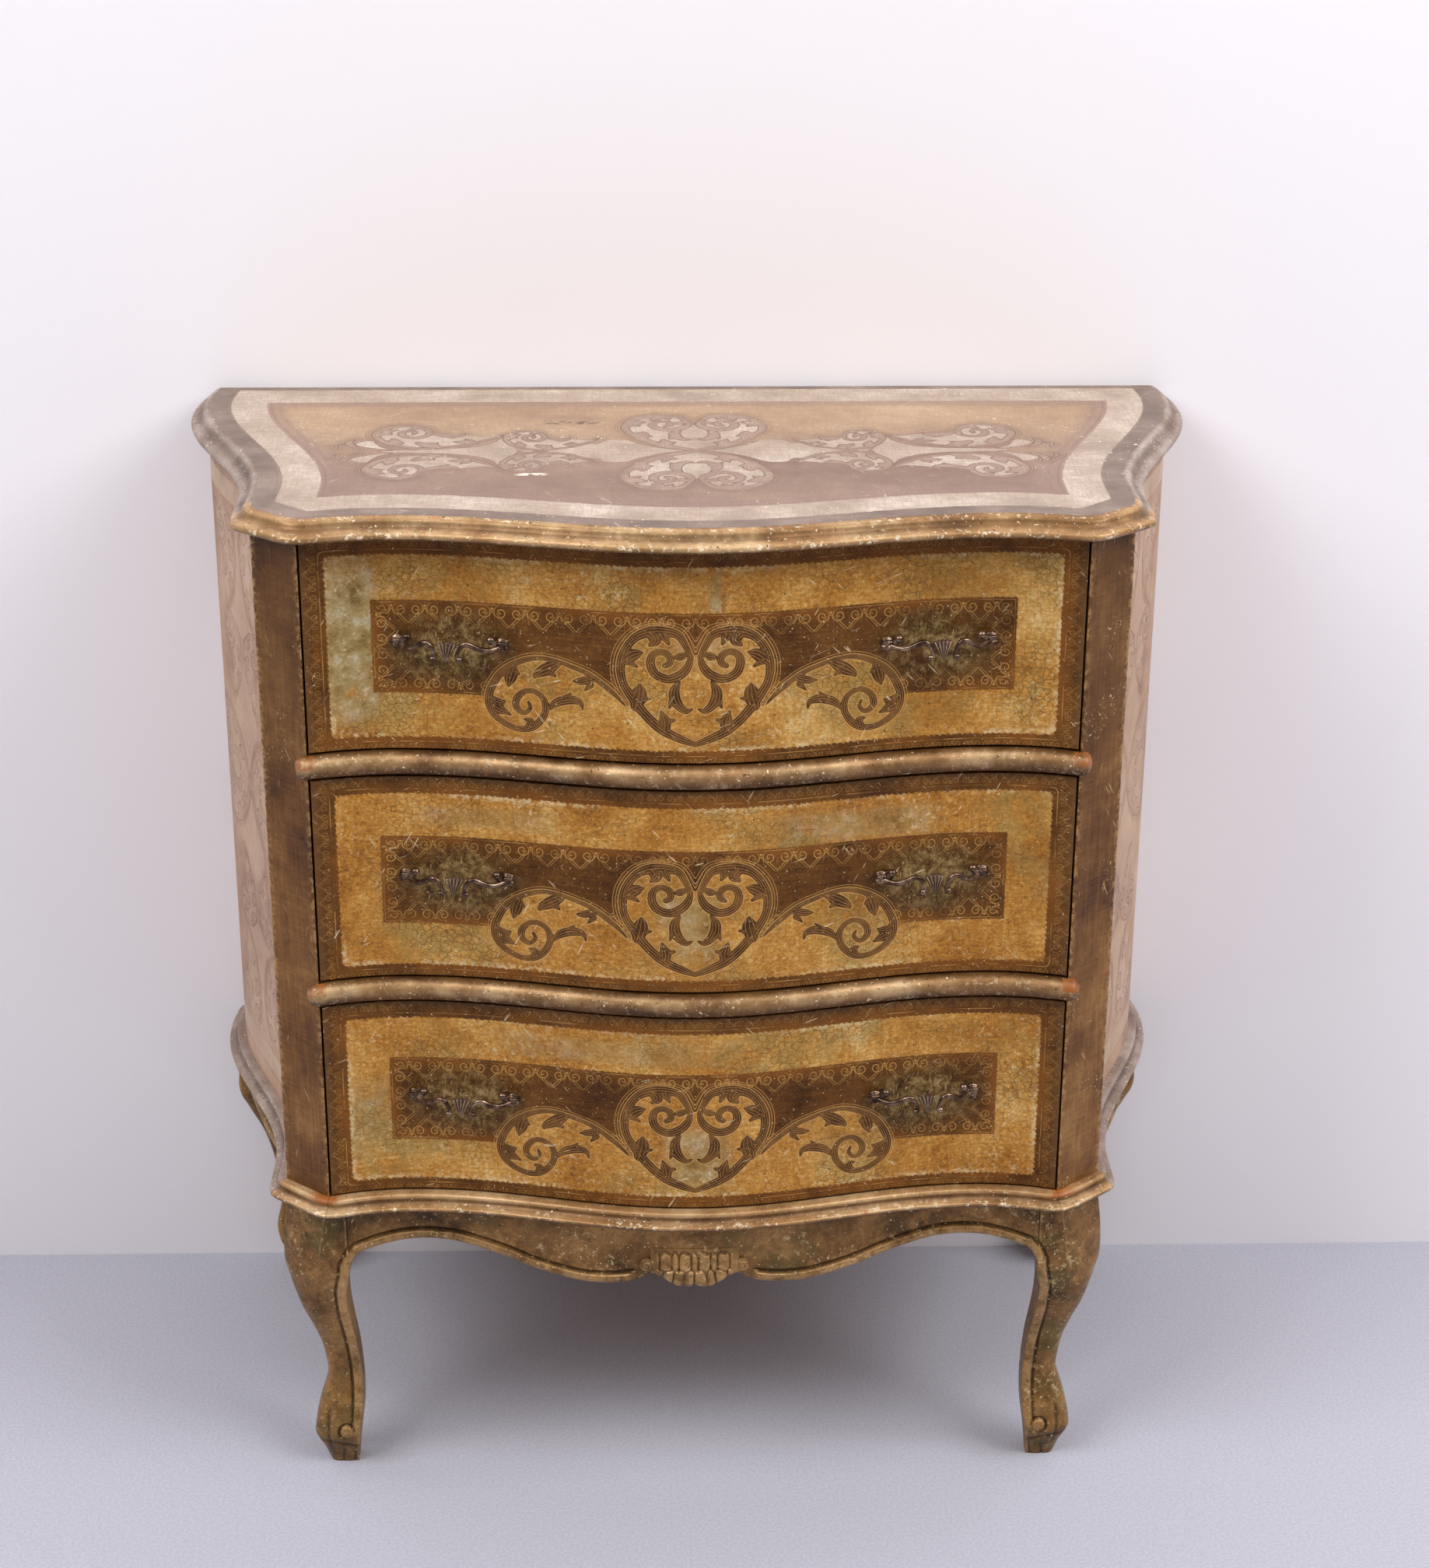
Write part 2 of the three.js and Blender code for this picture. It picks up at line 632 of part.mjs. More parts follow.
// Side aprons, with an arch beside each leg and a shallow lobe between
const sideApronShares = [
  [0, 0.93], [0.04, 0.72], [0.1, 0.6], [0.18, 0.55], [0.27, 0.6], [0.38, 0.74], [0.5, 0.82],
  [0.62, 0.74], [0.73, 0.6], [0.82, 0.55], [0.9, 0.6], [0.96, 0.72], [1, 0.93],
];

function sideApron(side) {
  const from = kneeFront + kneeWidth + fit;
  const to = rearLegBack - kneeWidth - fit;
  return loft(sideApronShares.map(([along, drop]) => {
    const y = from + along * (to - from);
    const place = (depth, z) => [side * (sideCurve(y) - depth), y, z];
    return apronRing(place, legTop - drop * sideApronDrop, sideApronThickness, 1);
  }));
}

addPiece('left_side_apron', sideApron(-1), legGilt);
addPiece('right_side_apron', sideApron(1), legGilt);

// Rear rail between the rear legs
const rearRailHalf = rearKneeOuter - kneeWidth - fit;
const rearRailPlan = rectangle(-rearRailHalf, rearRailHalf, rearLegBack - rearRailThickness, rearLegBack);
addPiece('rear_rail', upright(rearRailPlan, apronTop - rearRailHeight, apronTop), legGilt);

// Drawers
const frontHalfWidth = frontHalf - frontReveal;

function drawerFront(low, high) {
  const stations = [-frontHalfWidth, ...frontStations.slice(1, -1), frontHalfWidth];
  const ring = (z, soft) => [
    ...stations.map((x) => [x, frontCurve(x) + soft, z]),
    ...[...stations].reverse().map((x) => [x, frontCurve(x) + frontThickness, z]),
  ];
  return loft([
    ring(low, frontSoftening), ring(low + frontSoftening, 0),
    ring(high - frontSoftening, 0), ring(high, frontSoftening),
  ]);
}

function drawerSide(side, low) {
  const [outer, inner] = [boxHalf, boxHalf - sideThickness];
  const grooveLow = low + grooveHeight;
  const grooveHigh = grooveLow + bottomThickness + fit * 2;
  const section = [
    [outer, low], [outer, low + sideHeight], [inner, low + sideHeight], [inner, grooveHigh],
    [inner + grooveDepth, grooveHigh], [inner + grooveDepth, grooveLow], [inner, grooveLow], [inner, low],
  ];
  const slope = (frontCurve(outer) - frontCurve(inner)) / (outer - inner);
  const frontEnd = (x) => frontCurve(inner) + (x - inner) * slope + frontThickness + fit;
  const front = section.map(([x, z]) => [side * x, frontEnd(x), z]);
  const back = section.map(([x, z]) => [side * x, drawerBack, z]);
  return loft([front, back]);
}

function drawerBottom(low) {
  const half = boxHalf - sideThickness + grooveDepth - fit;
  const stations = [-half, ...frontStations.filter((x) => Math.abs(x) < half), half];
  const plan = [
    ...stations.map((x) => [x, frontCurve(x) + frontThickness + fit]),
    [half, drawerBack], [-half, drawerBack],
  ];
  return upright(plan, low, low + bottomThickness);
}

function drawerBackBoard(low, high) {
  const half = boxHalf - sideThickness - fit;
  return upright(rectangle(-half, half, drawerBack - drawerBackThickness, drawerBack), low, high);
}

// Handle in its own frame: x along the drawer, y back into the drawer front, z up.
// The neck runs from each leaf through a trough and over a crest to the curl beside the shell.
// Columns: place as a share of half the screw spacing, reach, height, thickness.
const neckShares = [
  [1.06, 0.35, 0.45, 1.1], [0.92, 0.5, 0.02, 1], [0.81, 0.65, -0.22, 0.95], [0.65, 0.82, -0.2, 0.95],
  [0.54, 0.92, 0.25, 0.95], [0.45, 0.97, 0.48, 0.95], [0.36, 1, 0.3, 0.95], [0.28, 1, -0.4, 0.9],
];
const neckSides = 6;

function neck(side) {
  const centres = neckShares.map(([along, reach, height]) => new THREE.Vector3(
    (side * along * screwSpacing) / 2,
    -reach * pullProud,
    height * pullDrop,
  ));
  return loft(centres.map((centre, i) => {
    const before = centres[Math.max(i - 1, 0)];
    const after = centres[Math.min(i + 1, centres.length - 1)];
    const along = after.clone().sub(before).normalize();
    const across = new THREE.Vector3(0, 1, 0).cross(along).normalize();
    const outwards = along.clone().cross(across);
    const radius = neckShares[i][3] * pullRadius;
    return spread(0, neckSides - 1, neckSides - 1).map((k) => {
      const turn = (2 * Math.PI * k) / neckSides;
      return centre.clone()
        .addScaledVector(across, radius * Math.cos(turn))
        .addScaledVector(outwards, radius * Math.sin(turn))
        .toArray();
    });
  }));
}

function lump(x, y, z, sizeX, sizeY, sizeZ, around = 7, up = 4) {
  const ball = new THREE.SphereGeometry(1, around, up);
  ball.rotateX(Math.PI / 2);
  ball.scale(sizeX, sizeY, sizeZ);
  ball.translate(x, y, z);
  return ball;
}

function handle() {
  const pieces = [];
  for (const side of [-1, 1]) {
    const screw = (side * screwSpacing) / 2;
    const foot = new THREE.CylinderGeometry(postRadius, postRadius, leafDepth, 8);
    foot.translate(screw, -fit - leafDepth / 2, screwRaise);
    pieces.push(neck(side), foot);
    const leafX = screw + (side * leafLength) / 2;
    pieces.push(lump(leafX, -fit - leafDepth / 2, screwRaise, leafLength / 2, leafDepth / 2, leafHeight / 2));
    const scrollX = screw - side * (scrollRadius + fit);
    pieces.push(lump(scrollX, -leafDepth, screwRaise + scrollRadius / 2, scrollRadius, scrollRadius, scrollRadius));
    const curlX = (side * pullShellWidth) / 2;
    pieces.push(lump(curlX, -pullProud, -pullDrop / 2, curlRadius, curlRadius, curlRadius));
  }
  pieces.push(lump(0, -pullProud, 0, pullShellWidth / 2, pullShellDepth / 2, pullShellHeight / 2, 12, 6));
  return joined(pieces);
}

const handleGeometry = handle();

openings.forEach((opening, level) => {
  const drawer = new THREE.Group();
  chest.add(drawer);
  const name = `drawer_${drawerCount - level}`;
  const [low, high] = [opening + frontReveal, opening + openingHeight - frontReveal];
  const sideLow = opening + fit;
  const bottomLow = sideLow + grooveHeight + fit;
  addPiece(`${name}_front`, drawerFront(low, high), goldLeaf, drawer);
  addPiece(`${name}_left_side`, drawerSide(-1, sideLow), bareWood, drawer);
  addPiece(`${name}_right_side`, drawerSide(1, sideLow), bareWood, drawer);
  addPiece(`${name}_bottom`, drawerBottom(bottomLow), bareWood, drawer);
  const backLow = bottomLow + bottomThickness + fit;
  addPiece(`${name}_back`, drawerBackBoard(backLow, sideLow + sideHeight), bareWood, drawer);
  for (const [place, side] of [['left', -1], ['right', 1]]) {
    const x = side * (frontHalf - handleInset);
    const mesh = addPiece(`${name}_${place}_handle`, handleGeometry.clone(), darkBronze, drawer);
    const span = screwSpacing + leafLength;
    const [leftEnd, rightEnd] = [frontCurve(x - span / 2), frontCurve(x + span / 2)];
    mesh.rotation.z = Math.atan((rightEnd - leftEnd) / span);
    mesh.position.set(x, (leftEnd + rightEnd) / 2, (low + high) / 2 + handleRaise);
  }
});

export default chest;
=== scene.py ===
# Commode chest with a serpentine front: gilded and tooled drawers, painted top, carved legs.
# Shapes are worked out in millimetres, with y measured back from the inner edges of the canted
# corners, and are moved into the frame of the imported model, in metres, as each mesh is made.
import math

import bpy
import numpy as np
from mathutils import Matrix, Vector


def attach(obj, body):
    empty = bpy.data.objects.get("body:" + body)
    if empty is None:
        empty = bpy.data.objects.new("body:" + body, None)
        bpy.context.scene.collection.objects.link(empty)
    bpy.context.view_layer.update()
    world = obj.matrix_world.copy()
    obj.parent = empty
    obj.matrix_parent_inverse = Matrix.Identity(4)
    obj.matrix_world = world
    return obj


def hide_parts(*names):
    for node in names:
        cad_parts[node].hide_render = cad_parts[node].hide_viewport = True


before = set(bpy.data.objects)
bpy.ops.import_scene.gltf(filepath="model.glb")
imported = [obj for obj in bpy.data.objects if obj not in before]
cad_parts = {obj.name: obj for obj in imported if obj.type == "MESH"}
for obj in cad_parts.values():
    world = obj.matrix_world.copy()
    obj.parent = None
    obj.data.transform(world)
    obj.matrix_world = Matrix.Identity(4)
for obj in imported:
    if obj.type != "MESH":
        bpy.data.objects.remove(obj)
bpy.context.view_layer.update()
mm = 0.001

chest = dict(
    height=809.0, topThickness=17.0, opening=164.0, rail=18.5, baseMoulding=12.5,
    frontHalf=280.0, hollowHalf=217.0, belly=23.0, hollow=10.5, cantWidth=36.0, cantDepth=30.0,
    sideTurn=70.0, sideRun=240.0, sideFlare=64.0, depth=347.0, shift=-149.75, fit=0.3,
)
chest["cantHalf"] = chest["frontHalf"] + chest["cantWidth"]
chest["top"] = chest["height"] - chest["topThickness"]
chest["floor"] = chest["top"] - 3 * chest["opening"] - 2 * chest["rail"]
chest["legTop"] = chest["floor"] - chest["baseMoulding"]
openings = [chest["floor"] + level * (chest["opening"] + chest["rail"]) for level in range(3)]
print("frame loaded")


# Camera at the photograph's view
photoCamera = dict(place=(-0.0368, -2.1528, 1.4296), pitch=22.382, yaw=1.4615, roll=0.2293,
                   focalPixels=3834.9, photoPixels=2016, sensor=36.0)


def makeCamera():
    # looks along a line given by pitch and yaw, and then rolled about it
    pitch, yaw, roll = (math.radians(photoCamera[k]) for k in ("pitch", "yaw", "roll"))
    ahead = Vector((math.sin(yaw) * math.cos(pitch), math.cos(yaw) * math.cos(pitch), -math.sin(pitch)))
    level = Vector((math.cos(yaw), -math.sin(yaw), 0))
    upright = level.cross(ahead)
    right = math.cos(roll) * level + math.sin(roll) * upright
    up = math.cos(roll) * upright - math.sin(roll) * level
    data = bpy.data.cameras.new("photoCamera")
    data.sensor_width = photoCamera["sensor"]
    data.lens = photoCamera["focalPixels"] * photoCamera["sensor"] / photoCamera["photoPixels"]
    camera = bpy.data.objects.new("photoCamera", data)
    turned = Matrix((right, up, -ahead)).transposed().to_4x4()
    camera.matrix_world = Matrix.Translation(photoCamera["place"]) @ turned
    bpy.context.collection.objects.link(camera)
    bpy.context.scene.camera = camera


makeCamera()


# Nodes for the finishes. A value is the output of a node, and each sum with it adds the node that works
# it out. A finish is a material with its shader, and its methods add one node each.
def tone(red, green, blue):
    # sRGB from 0 to 255 into the shader's linear colour
    share = [value / 255 for value in (red, green, blue)]
    return [v / 12.92 if v <= 0.04045 else ((v + 0.055) / 1.055) ** 2.4 for v in share] + [1.0]


class Value:
    def __init__(self, finish, socket):
        self.finish, self.socket = finish, socket

    def __add__(self, other):
        return self.finish.math("ADD", self, other)

    def __radd__(self, other):
        return self.finish.math("ADD", other, self)

    def __sub__(self, other):
        return self.finish.math("SUBTRACT", self, other)

    def __rsub__(self, other):
        return self.finish.math("SUBTRACT", other, self)

    def __mul__(self, other):
        return self.finish.math("MULTIPLY", self, other)

    def __rtruediv__(self, other):
        return self.finish.math("DIVIDE", other, self)

    def __abs__(self):
        return self.finish.math("ABSOLUTE", self)

    def root(self):
        return self.finish.math("SQRT", self)

    def step(self, low, high):
        # nothing up to the first number and one from the second, with a smooth rise between them
        node = self.finish.add("ShaderNodeMapRange", interpolation_type="SMOOTHSTEP")
        for socket, number in zip(node.inputs, (self, low, high, 0.0, 1.0)):
            self.finish.put(socket, number)
        return Value(self.finish, node.outputs[0])

    def near(self, at, half):
        # one close to a number, fading to nothing at both sides
        return abs(self - at).step(half * 1.4, half * 0.6)

    def inside(self, edge=0.25):
        # one where a signed distance is below zero, with a soft edge
        return self.step(edge, -edge)


def over(*masks):
    # the largest of several values
    total = masks[0]
    for mask in masks[1:]:
        total = mask.finish.math("MAXIMUM", total, mask)
    return total


def least(a, b):
    return a.finish.math("MINIMUM", a, b)


class Finish:
    def __init__(self, name, roughness=0.5, metallic=0.0, specular=0.5):
        self.material = bpy.data.materials.new(name)
        self.material.use_nodes = True
        self.tree = self.material.node_tree
        self.shader = self.tree.nodes["Principled BSDF"]
        self.shader.inputs["Roughness"].default_value = roughness
        self.shader.inputs["Metallic"].default_value = metallic
        self.shader.inputs["Specular IOR Level"].default_value = specular

    def put(self, socket, value):
        if isinstance(value, Value):
            self.tree.links.new(value.socket, socket)
        elif value is not None:
            socket.default_value = value

    def add(self, kind, **settings):
        node = self.tree.nodes.new(kind)
        for key, value in settings.items():
            setattr(node, key, value)
        return node

    def place(self):
        return Value(self, self.add("ShaderNodeTexCoord").outputs["Object"])

    def scaled(self, scale, turn=(0, 0, 0)):
        # turned back about the origin, and then stretched along each axis
        node = self.add("ShaderNodeMapping", vector_type="TEXTURE")
        node.inputs["Scale"].default_value = [1 / s for s in scale]
        node.inputs["Rotation"].default_value = turn
        self.put(node.inputs["Vector"], self.place())
        return Value(self, node.outputs["Vector"])

    def split(self, vector):
        node = self.add("ShaderNodeSeparateXYZ")
        self.put(node.inputs[0], vector)
        return [Value(self, socket) for socket in node.outputs]

    def attribute(self, name):
        node = self.add("ShaderNodeAttribute", attribute_name=name)
        return self.split(Value(self, node.outputs["Vector"]))

    def axes(self):
        return self.split(self.place())

    def math(self, operation, *values):
        node = self.add("ShaderNodeMath", operation=operation)
        for socket, value in zip(node.inputs, values):
            self.put(socket, value)
        return Value(self, node.outputs[0])

    def ramp(self, value, low, high, shades):
        # shades spread evenly between two values
        node = self.add("ShaderNodeValToRGB")
        self.put(node.inputs[0], value)
        stops = node.color_ramp.elements
        while len(stops) < len(shades):
            stops.new(0.5)
        for stop, at, shade in zip(stops, np.linspace(low, high, len(shades)), shades):
            stop.position = at
            stop.color = tone(*shade)
        return Value(self, node.outputs[0])

    def noise(self, scale, detail=4.0, rough=0.55, vector=None, bend=0.0):
        node = self.add("ShaderNodeTexNoise")
        self.put(node.inputs["Vector"], vector or self.place())
        for key, value in (("Scale", scale), ("Detail", detail), ("Roughness", rough), ("Distortion", bend)):
            node.inputs[key].default_value = value
        return Value(self, node.outputs["Fac"])

    def cracks(self, scale):
        node = self.add("ShaderNodeTexVoronoi", feature="DISTANCE_TO_EDGE")
        self.put(node.inputs["Vector"], self.place())
        node.inputs["Scale"].default_value = scale
        return Value(self, node.outputs["Distance"])

    def mix(self, share, a, b):
        node = self.add("ShaderNodeMix", data_type="RGBA")
        for socket, value in zip((node.inputs[0], node.inputs[6], node.inputs[7]), (share, a, b)):
            self.put(socket, value)
        return Value(self, node.outputs[2])

    def bump(self, height, distance, strength):
        node = self.add("ShaderNodeBump")
        node.inputs["Strength"].default_value = strength
        node.inputs["Distance"].default_value = distance
        self.put(node.inputs["Height"], height)
        return Value(self, node.outputs[0])

    def done(self, colour=None, roughness=None, metallic=None, normal=None):
        for key, value in (("Base Color", colour), ("Roughness", roughness), ("Metallic", metallic)):
            self.put(self.shader.inputs[key], value)
        self.put(self.shader.inputs["Normal"], normal)
        return self.material

    # Marks that several finishes share
    def mottled(self, shades, scale, detail, low=0.36, high=0.64):
        # shades of one surface, melting into each other
        return self.ramp(self.noise(scale, detail, 0.62), low, high, shades)

    def patches(self, scale, low, high, detail=3):
        return self.noise(scale, detail, 0.6).step(low, high)

    def flecks(self, scale, share, turn=0.0):
        return self.noise(scale, 2, 0.6, self.scaled((1, 1, 1), (turn, turn, 0))).step(share, share + 0.03)

    def scratches(self, turns, size=1.0, amount=0.69):
        # thin short streaks, one set along each turned axis, only in worn places
        sets = []
        for number, turn in enumerate(turns):
            across, along = (470.0 + 60.0 * number) / size, 42.0 / size
            streak = self.noise(1.0, 2, 0.5, self.scaled((across, along, along), turn))
            sets.append(streak.step(amount, amount + 0.04) * self.patches(23 + 7 * number, 0.5, 0.62))
        return over(*sets)

    def weave(self, fine=360.0, coarse=70):
        # cloth under the paint: threads along x and along y
        first = self.noise(1.0, 3, 0.65, self.scaled((coarse, fine, fine)))
        second = self.noise(1.0, 3, 0.65, self.scaled((fine * 1.6, coarse, coarse)))
        return (first + second) * 0.5


# Meshes. A shell is a grid of points in rings, with each ring closed, and flat caps at both ends.
def ringQuads(rings, columns):
    # quad between neighbours in both directions of the grid
    ring = np.arange(rings - 1)[:, None]
    column = np.arange(columns)[None, :]
    following = (column + 1) % columns
    corners = [ring * columns + column, ring * columns + following,
               (ring + 1) * columns + following, (ring + 1) * columns + column]
    return np.stack([c.ravel() for c in corners], axis=1)


def shell(rings):
    # points (ring, column, xyz) into one closed body: side quads and a cap at each end
    rings = np.asarray(rings, float)
    count, columns = rings.shape[:2]
    caps = [np.arange(columns)[None, ::-1], (np.arange(columns) + (count - 1) * columns)[None, :]]
    return rings.reshape(-1, 3), [ringQuads(count, columns), *caps]


def bodyVolume(points, faces):
    # a sixth of the sum of triple products of the fans of all faces
    total = 0.0
    for group in faces:
        first = points[group[:, 0]]
        for k in range(1, group.shape[1] - 1):
            second, third = points[group[:, k]], points[group[:, k + 1]]
            total += np.einsum("ij,ij->i", first, np.cross(second, third)).sum()
    return total / 6


def addPiece(name, bodies, body, finish, nodes, fields, sharp=38.0, faceFinish=None, others=()):
    # one mesh from several closed bodies, each turned to face outwards, with its fields on the points
    allPoints, loops, sizes, kinds = [], [], [], []
    start = 0
    for points, faces in bodies:
        inward = bodyVolume(points - points.mean(0), faces) < 0
        for group in faces:
            loops.append((group[:, ::-1] if inward else group).ravel() + start)
            sizes.append(np.full(len(group), group.shape[1]))
            kinds.append(np.full(len(group), faceFinish[len(kinds)] if faceFinish else 0))
        allPoints.append(points)
        start += len(points)
    points = np.concatenate(allPoints)
    loops, sizes = np.concatenate(loops), np.concatenate(sizes)
    mesh = bpy.data.meshes.new(name)
    mesh.vertices.add(len(points))
    mesh.vertices.foreach_set("co", ((points + (0, chest["shift"], 0)) * mm).ravel())
    mesh.loops.add(len(loops))
    mesh.loops.foreach_set("vertex_index", loops.astype(np.int32))
    mesh.polygons.add(len(sizes))
    mesh.polygons.foreach_set("loop_start", (np.cumsum(sizes) - sizes).astype(np.int32))
    mesh.polygons.foreach_set("material_index", np.concatenate(kinds).astype(np.int32))
    mesh.update(calc_edges=True)
    mesh.shade_smooth()
    mesh.set_sharp_from_angle(angle=math.radians(sharp))
    for key, values in fields.items():
        layer = mesh.attributes.new(key, "FLOAT_VECTOR", "POINT")
        rows = np.concatenate(values) if isinstance(values, list) else values
        layer.data.foreach_set("vector", np.asarray(rows, float).ravel())
    piece = bpy.data.objects.new(name, mesh)
    bpy.context.collection.objects.link(piece)
    for material in (finish, *others):
        mesh.materials.append(material)
    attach(piece, body)
    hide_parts(*nodes)


curveSteps = 8
groundReach = 14.0   # distances to an outline are worked out as far as this


def smoothLine(points, steps=curveSteps):
    # Catmull-Rom curve through rows of numbers, with the end rows mirrored outwards
    rows = np.asarray(points, float)
    padded = np.vstack([2 * rows[0] - rows[1], rows, 2 * rows[-1] - rows[-2]])
    t = np.arange(steps)[:, None] / steps
    pieces = []
    for a, b, c, d in zip(padded, padded[1:], padded[2:], padded[3:]):
        pieces.append(0.5 * (2 * b + (c - a) * t + (2 * a - 5 * b + 4 * c - d) * t**2
                             + (3 * b - a - 3 * c + d) * t**3))
    return np.vstack([*pieces, rows[-1:]])


def tableValue(table, at):
    # smooth value of a table of (place, value) rows at many places
    rows = smoothLine(table, 12)
    return np.interp(at, rows[:, 0], rows[:, 1])


def fade(value, start, run):
    # nothing up to the start, and one from the end of the run
    return np.clip((value - start) / run, 0, 1)


def groove(distance, wide):
    # bell curve: one in the middle, dying away on both sides
    return np.exp(-(distance / wide) ** 2)


def gouge(distance, size):
    # groove of a width and a depth
    wide, deep = size
    return deep * groove(distance, wide)


def dome(distance):
    # quarter circle: one in the middle, nothing from a distance of one on
    return np.sqrt(np.maximum(1 - distance**2, 0))


# Plan of the case
def frontCurve(x):
    # half a cosine from belly to hollow, then a parabola up to the edge of the canted corner
    reach = np.abs(x)
    swing = (chest["belly"] + chest["hollow"]) / 2
    inner = chest["hollow"] - swing - swing * np.cos(np.pi * reach / chest["hollowHalf"])
    fall = (reach - chest["hollowHalf"]) / (chest["frontHalf"] - chest["hollowHalf"])
    return np.where(reach <= chest["hollowHalf"], inner, chest["hollow"] * (1 - fall**2))


def sideCurve(y):
    # straight, then half a cosine out to the widest place near the back
    turn = np.maximum(0, (y - chest["sideTurn"]) / chest["sideRun"])
    return chest["cantHalf"] + chest["sideFlare"] / 2 * (1 - np.cos(np.pi * turn))


def cantLine(x):
    # straight cut of the corner, from the front edge back to the side
    return (np.abs(x) - chest["frontHalf"]) * chest["cantDepth"] / chest["cantWidth"]


def casePlan(frontSteps, sideSteps, cantSteps):
    # outline from the left back corner round the front, and the kind of each stretch of it
    y = np.linspace(chest["sideTurn"], chest["depth"], sideSteps + 1)
    y = np.concatenate([np.linspace(chest["cantDepth"], chest["sideTurn"], 13)[:-1], y])
    x = np.linspace(-chest["frontHalf"], chest["frontHalf"], frontSteps + 1)
    cantX = np.linspace(chest["frontHalf"], chest["cantHalf"], cantSteps + 1)
    right = np.column_stack([sideCurve(y), y])
    cant = np.column_stack([cantX, cantLine(cantX)])[1:-1]
    front = np.column_stack([x, frontCurve(x)])
    outline = np.vstack([right[::-1] * (-1, 1), cant[::-1] * (-1, 1), front, cant, right])
    side, corner = len(right) - 1, cantSteps
    kinds = np.repeat([0, 1, 2, 1, 0], [side, corner, frontSteps, corner, side])
    return outline, kinds


ears = dict(side=9.0, front=13.0)   # how far the moulded corners of the plan are rounded


def offsetPlan(outline, kinds, front, cant, side):
    # each stretch moved out along its normal, with a mitre where two stretches meet
    distance = np.array([side, cant, front])[kinds]
    along = np.diff(outline, axis=0)
    along /= np.linalg.norm(along, axis=1)[:, None]
    normal = np.column_stack([along[:, 1], -along[:, 0]])
    a, b = normal[:-1], normal[1:]
    da, db = distance[:-1], distance[1:]
    cosine = (a * b).sum(1)
    alike = np.abs(da - db) < 1e-9
    sine = np.where(alike, 1, 1 - cosine**2)
    pa = np.where(alike, da / (1 + cosine), (da - db * cosine) / sine)
    pb = np.where(alike, db / (1 + cosine), (db - da * cosine) / sine)
    moved = outline.copy()
    moved[1:-1] += pa[:, None] * a + pb[:, None] * b
    moved[0, 0] += distance[0] / normal[0, 0]
    moved[-1, 0] += distance[-1] / normal[-1, 0]
    turns = np.flatnonzero(np.diff(kinds)) + 1
    for start, end in (turns[:2], turns[2:]):   # the straight cut of each corner keeps even steps
        share = np.linspace(0, 1, end - start + 1)[:, None]
        moved[start:end + 1] = moved[start] + share * (moved[end] - moved[start])
    for at, radius in zip(turns, (ears["side"], ears["front"], ears["front"], ears["side"])):
        moved = easedCorner(moved, at, radius)
    return moved


def easedCorner(line, at, radius):
    # points within a radius of the corner, measured along the line, slide onto a quadratic curve
    steps = np.linalg.norm(np.diff(line, axis=0), axis=1)
    place = np.concatenate([[0], np.cumsum(steps)])
    place -= place[at]
    reaches = (-radius, radius)
    start, end = np.column_stack([np.interp(reaches, place, line[:, k]) for k in (0, 1)])
    t = np.clip((place + radius) / (2 * radius), 0, 1)[:, None]
    curve = (1 - t) ** 2 * start + 2 * t * (1 - t) * line[at] + t**2 * end
    return np.where(np.abs(place)[:, None] < radius, curve, line)


def upright(plan, low, high):
    # a board or post of one plan between two heights
    plan = np.asarray(plan, float)
    return shell([np.column_stack([plan, np.full(len(plan), z)]) for z in (low, high)])


def roundedPlan(plan, radius, steps=4):
    # every corner of a plan replaced by a quadratic curve between points a radius away from it
    plan = np.asarray(plan, float)
    t = np.linspace(0, 1, steps)[:, None]
    rows = []
    for before, corner, after in zip(np.roll(plan, 1, 0), plan, np.roll(plan, -1, 0)):
        start = corner + (before - corner) * min(0.45, radius / np.linalg.norm(before - corner))
        end = corner + (after - corner) * min(0.45, radius / np.linalg.norm(after - corner))
        rows.append((1 - t) ** 2 * start + 2 * t * (1 - t) * corner + t**2 * end)
    return np.vstack(rows)


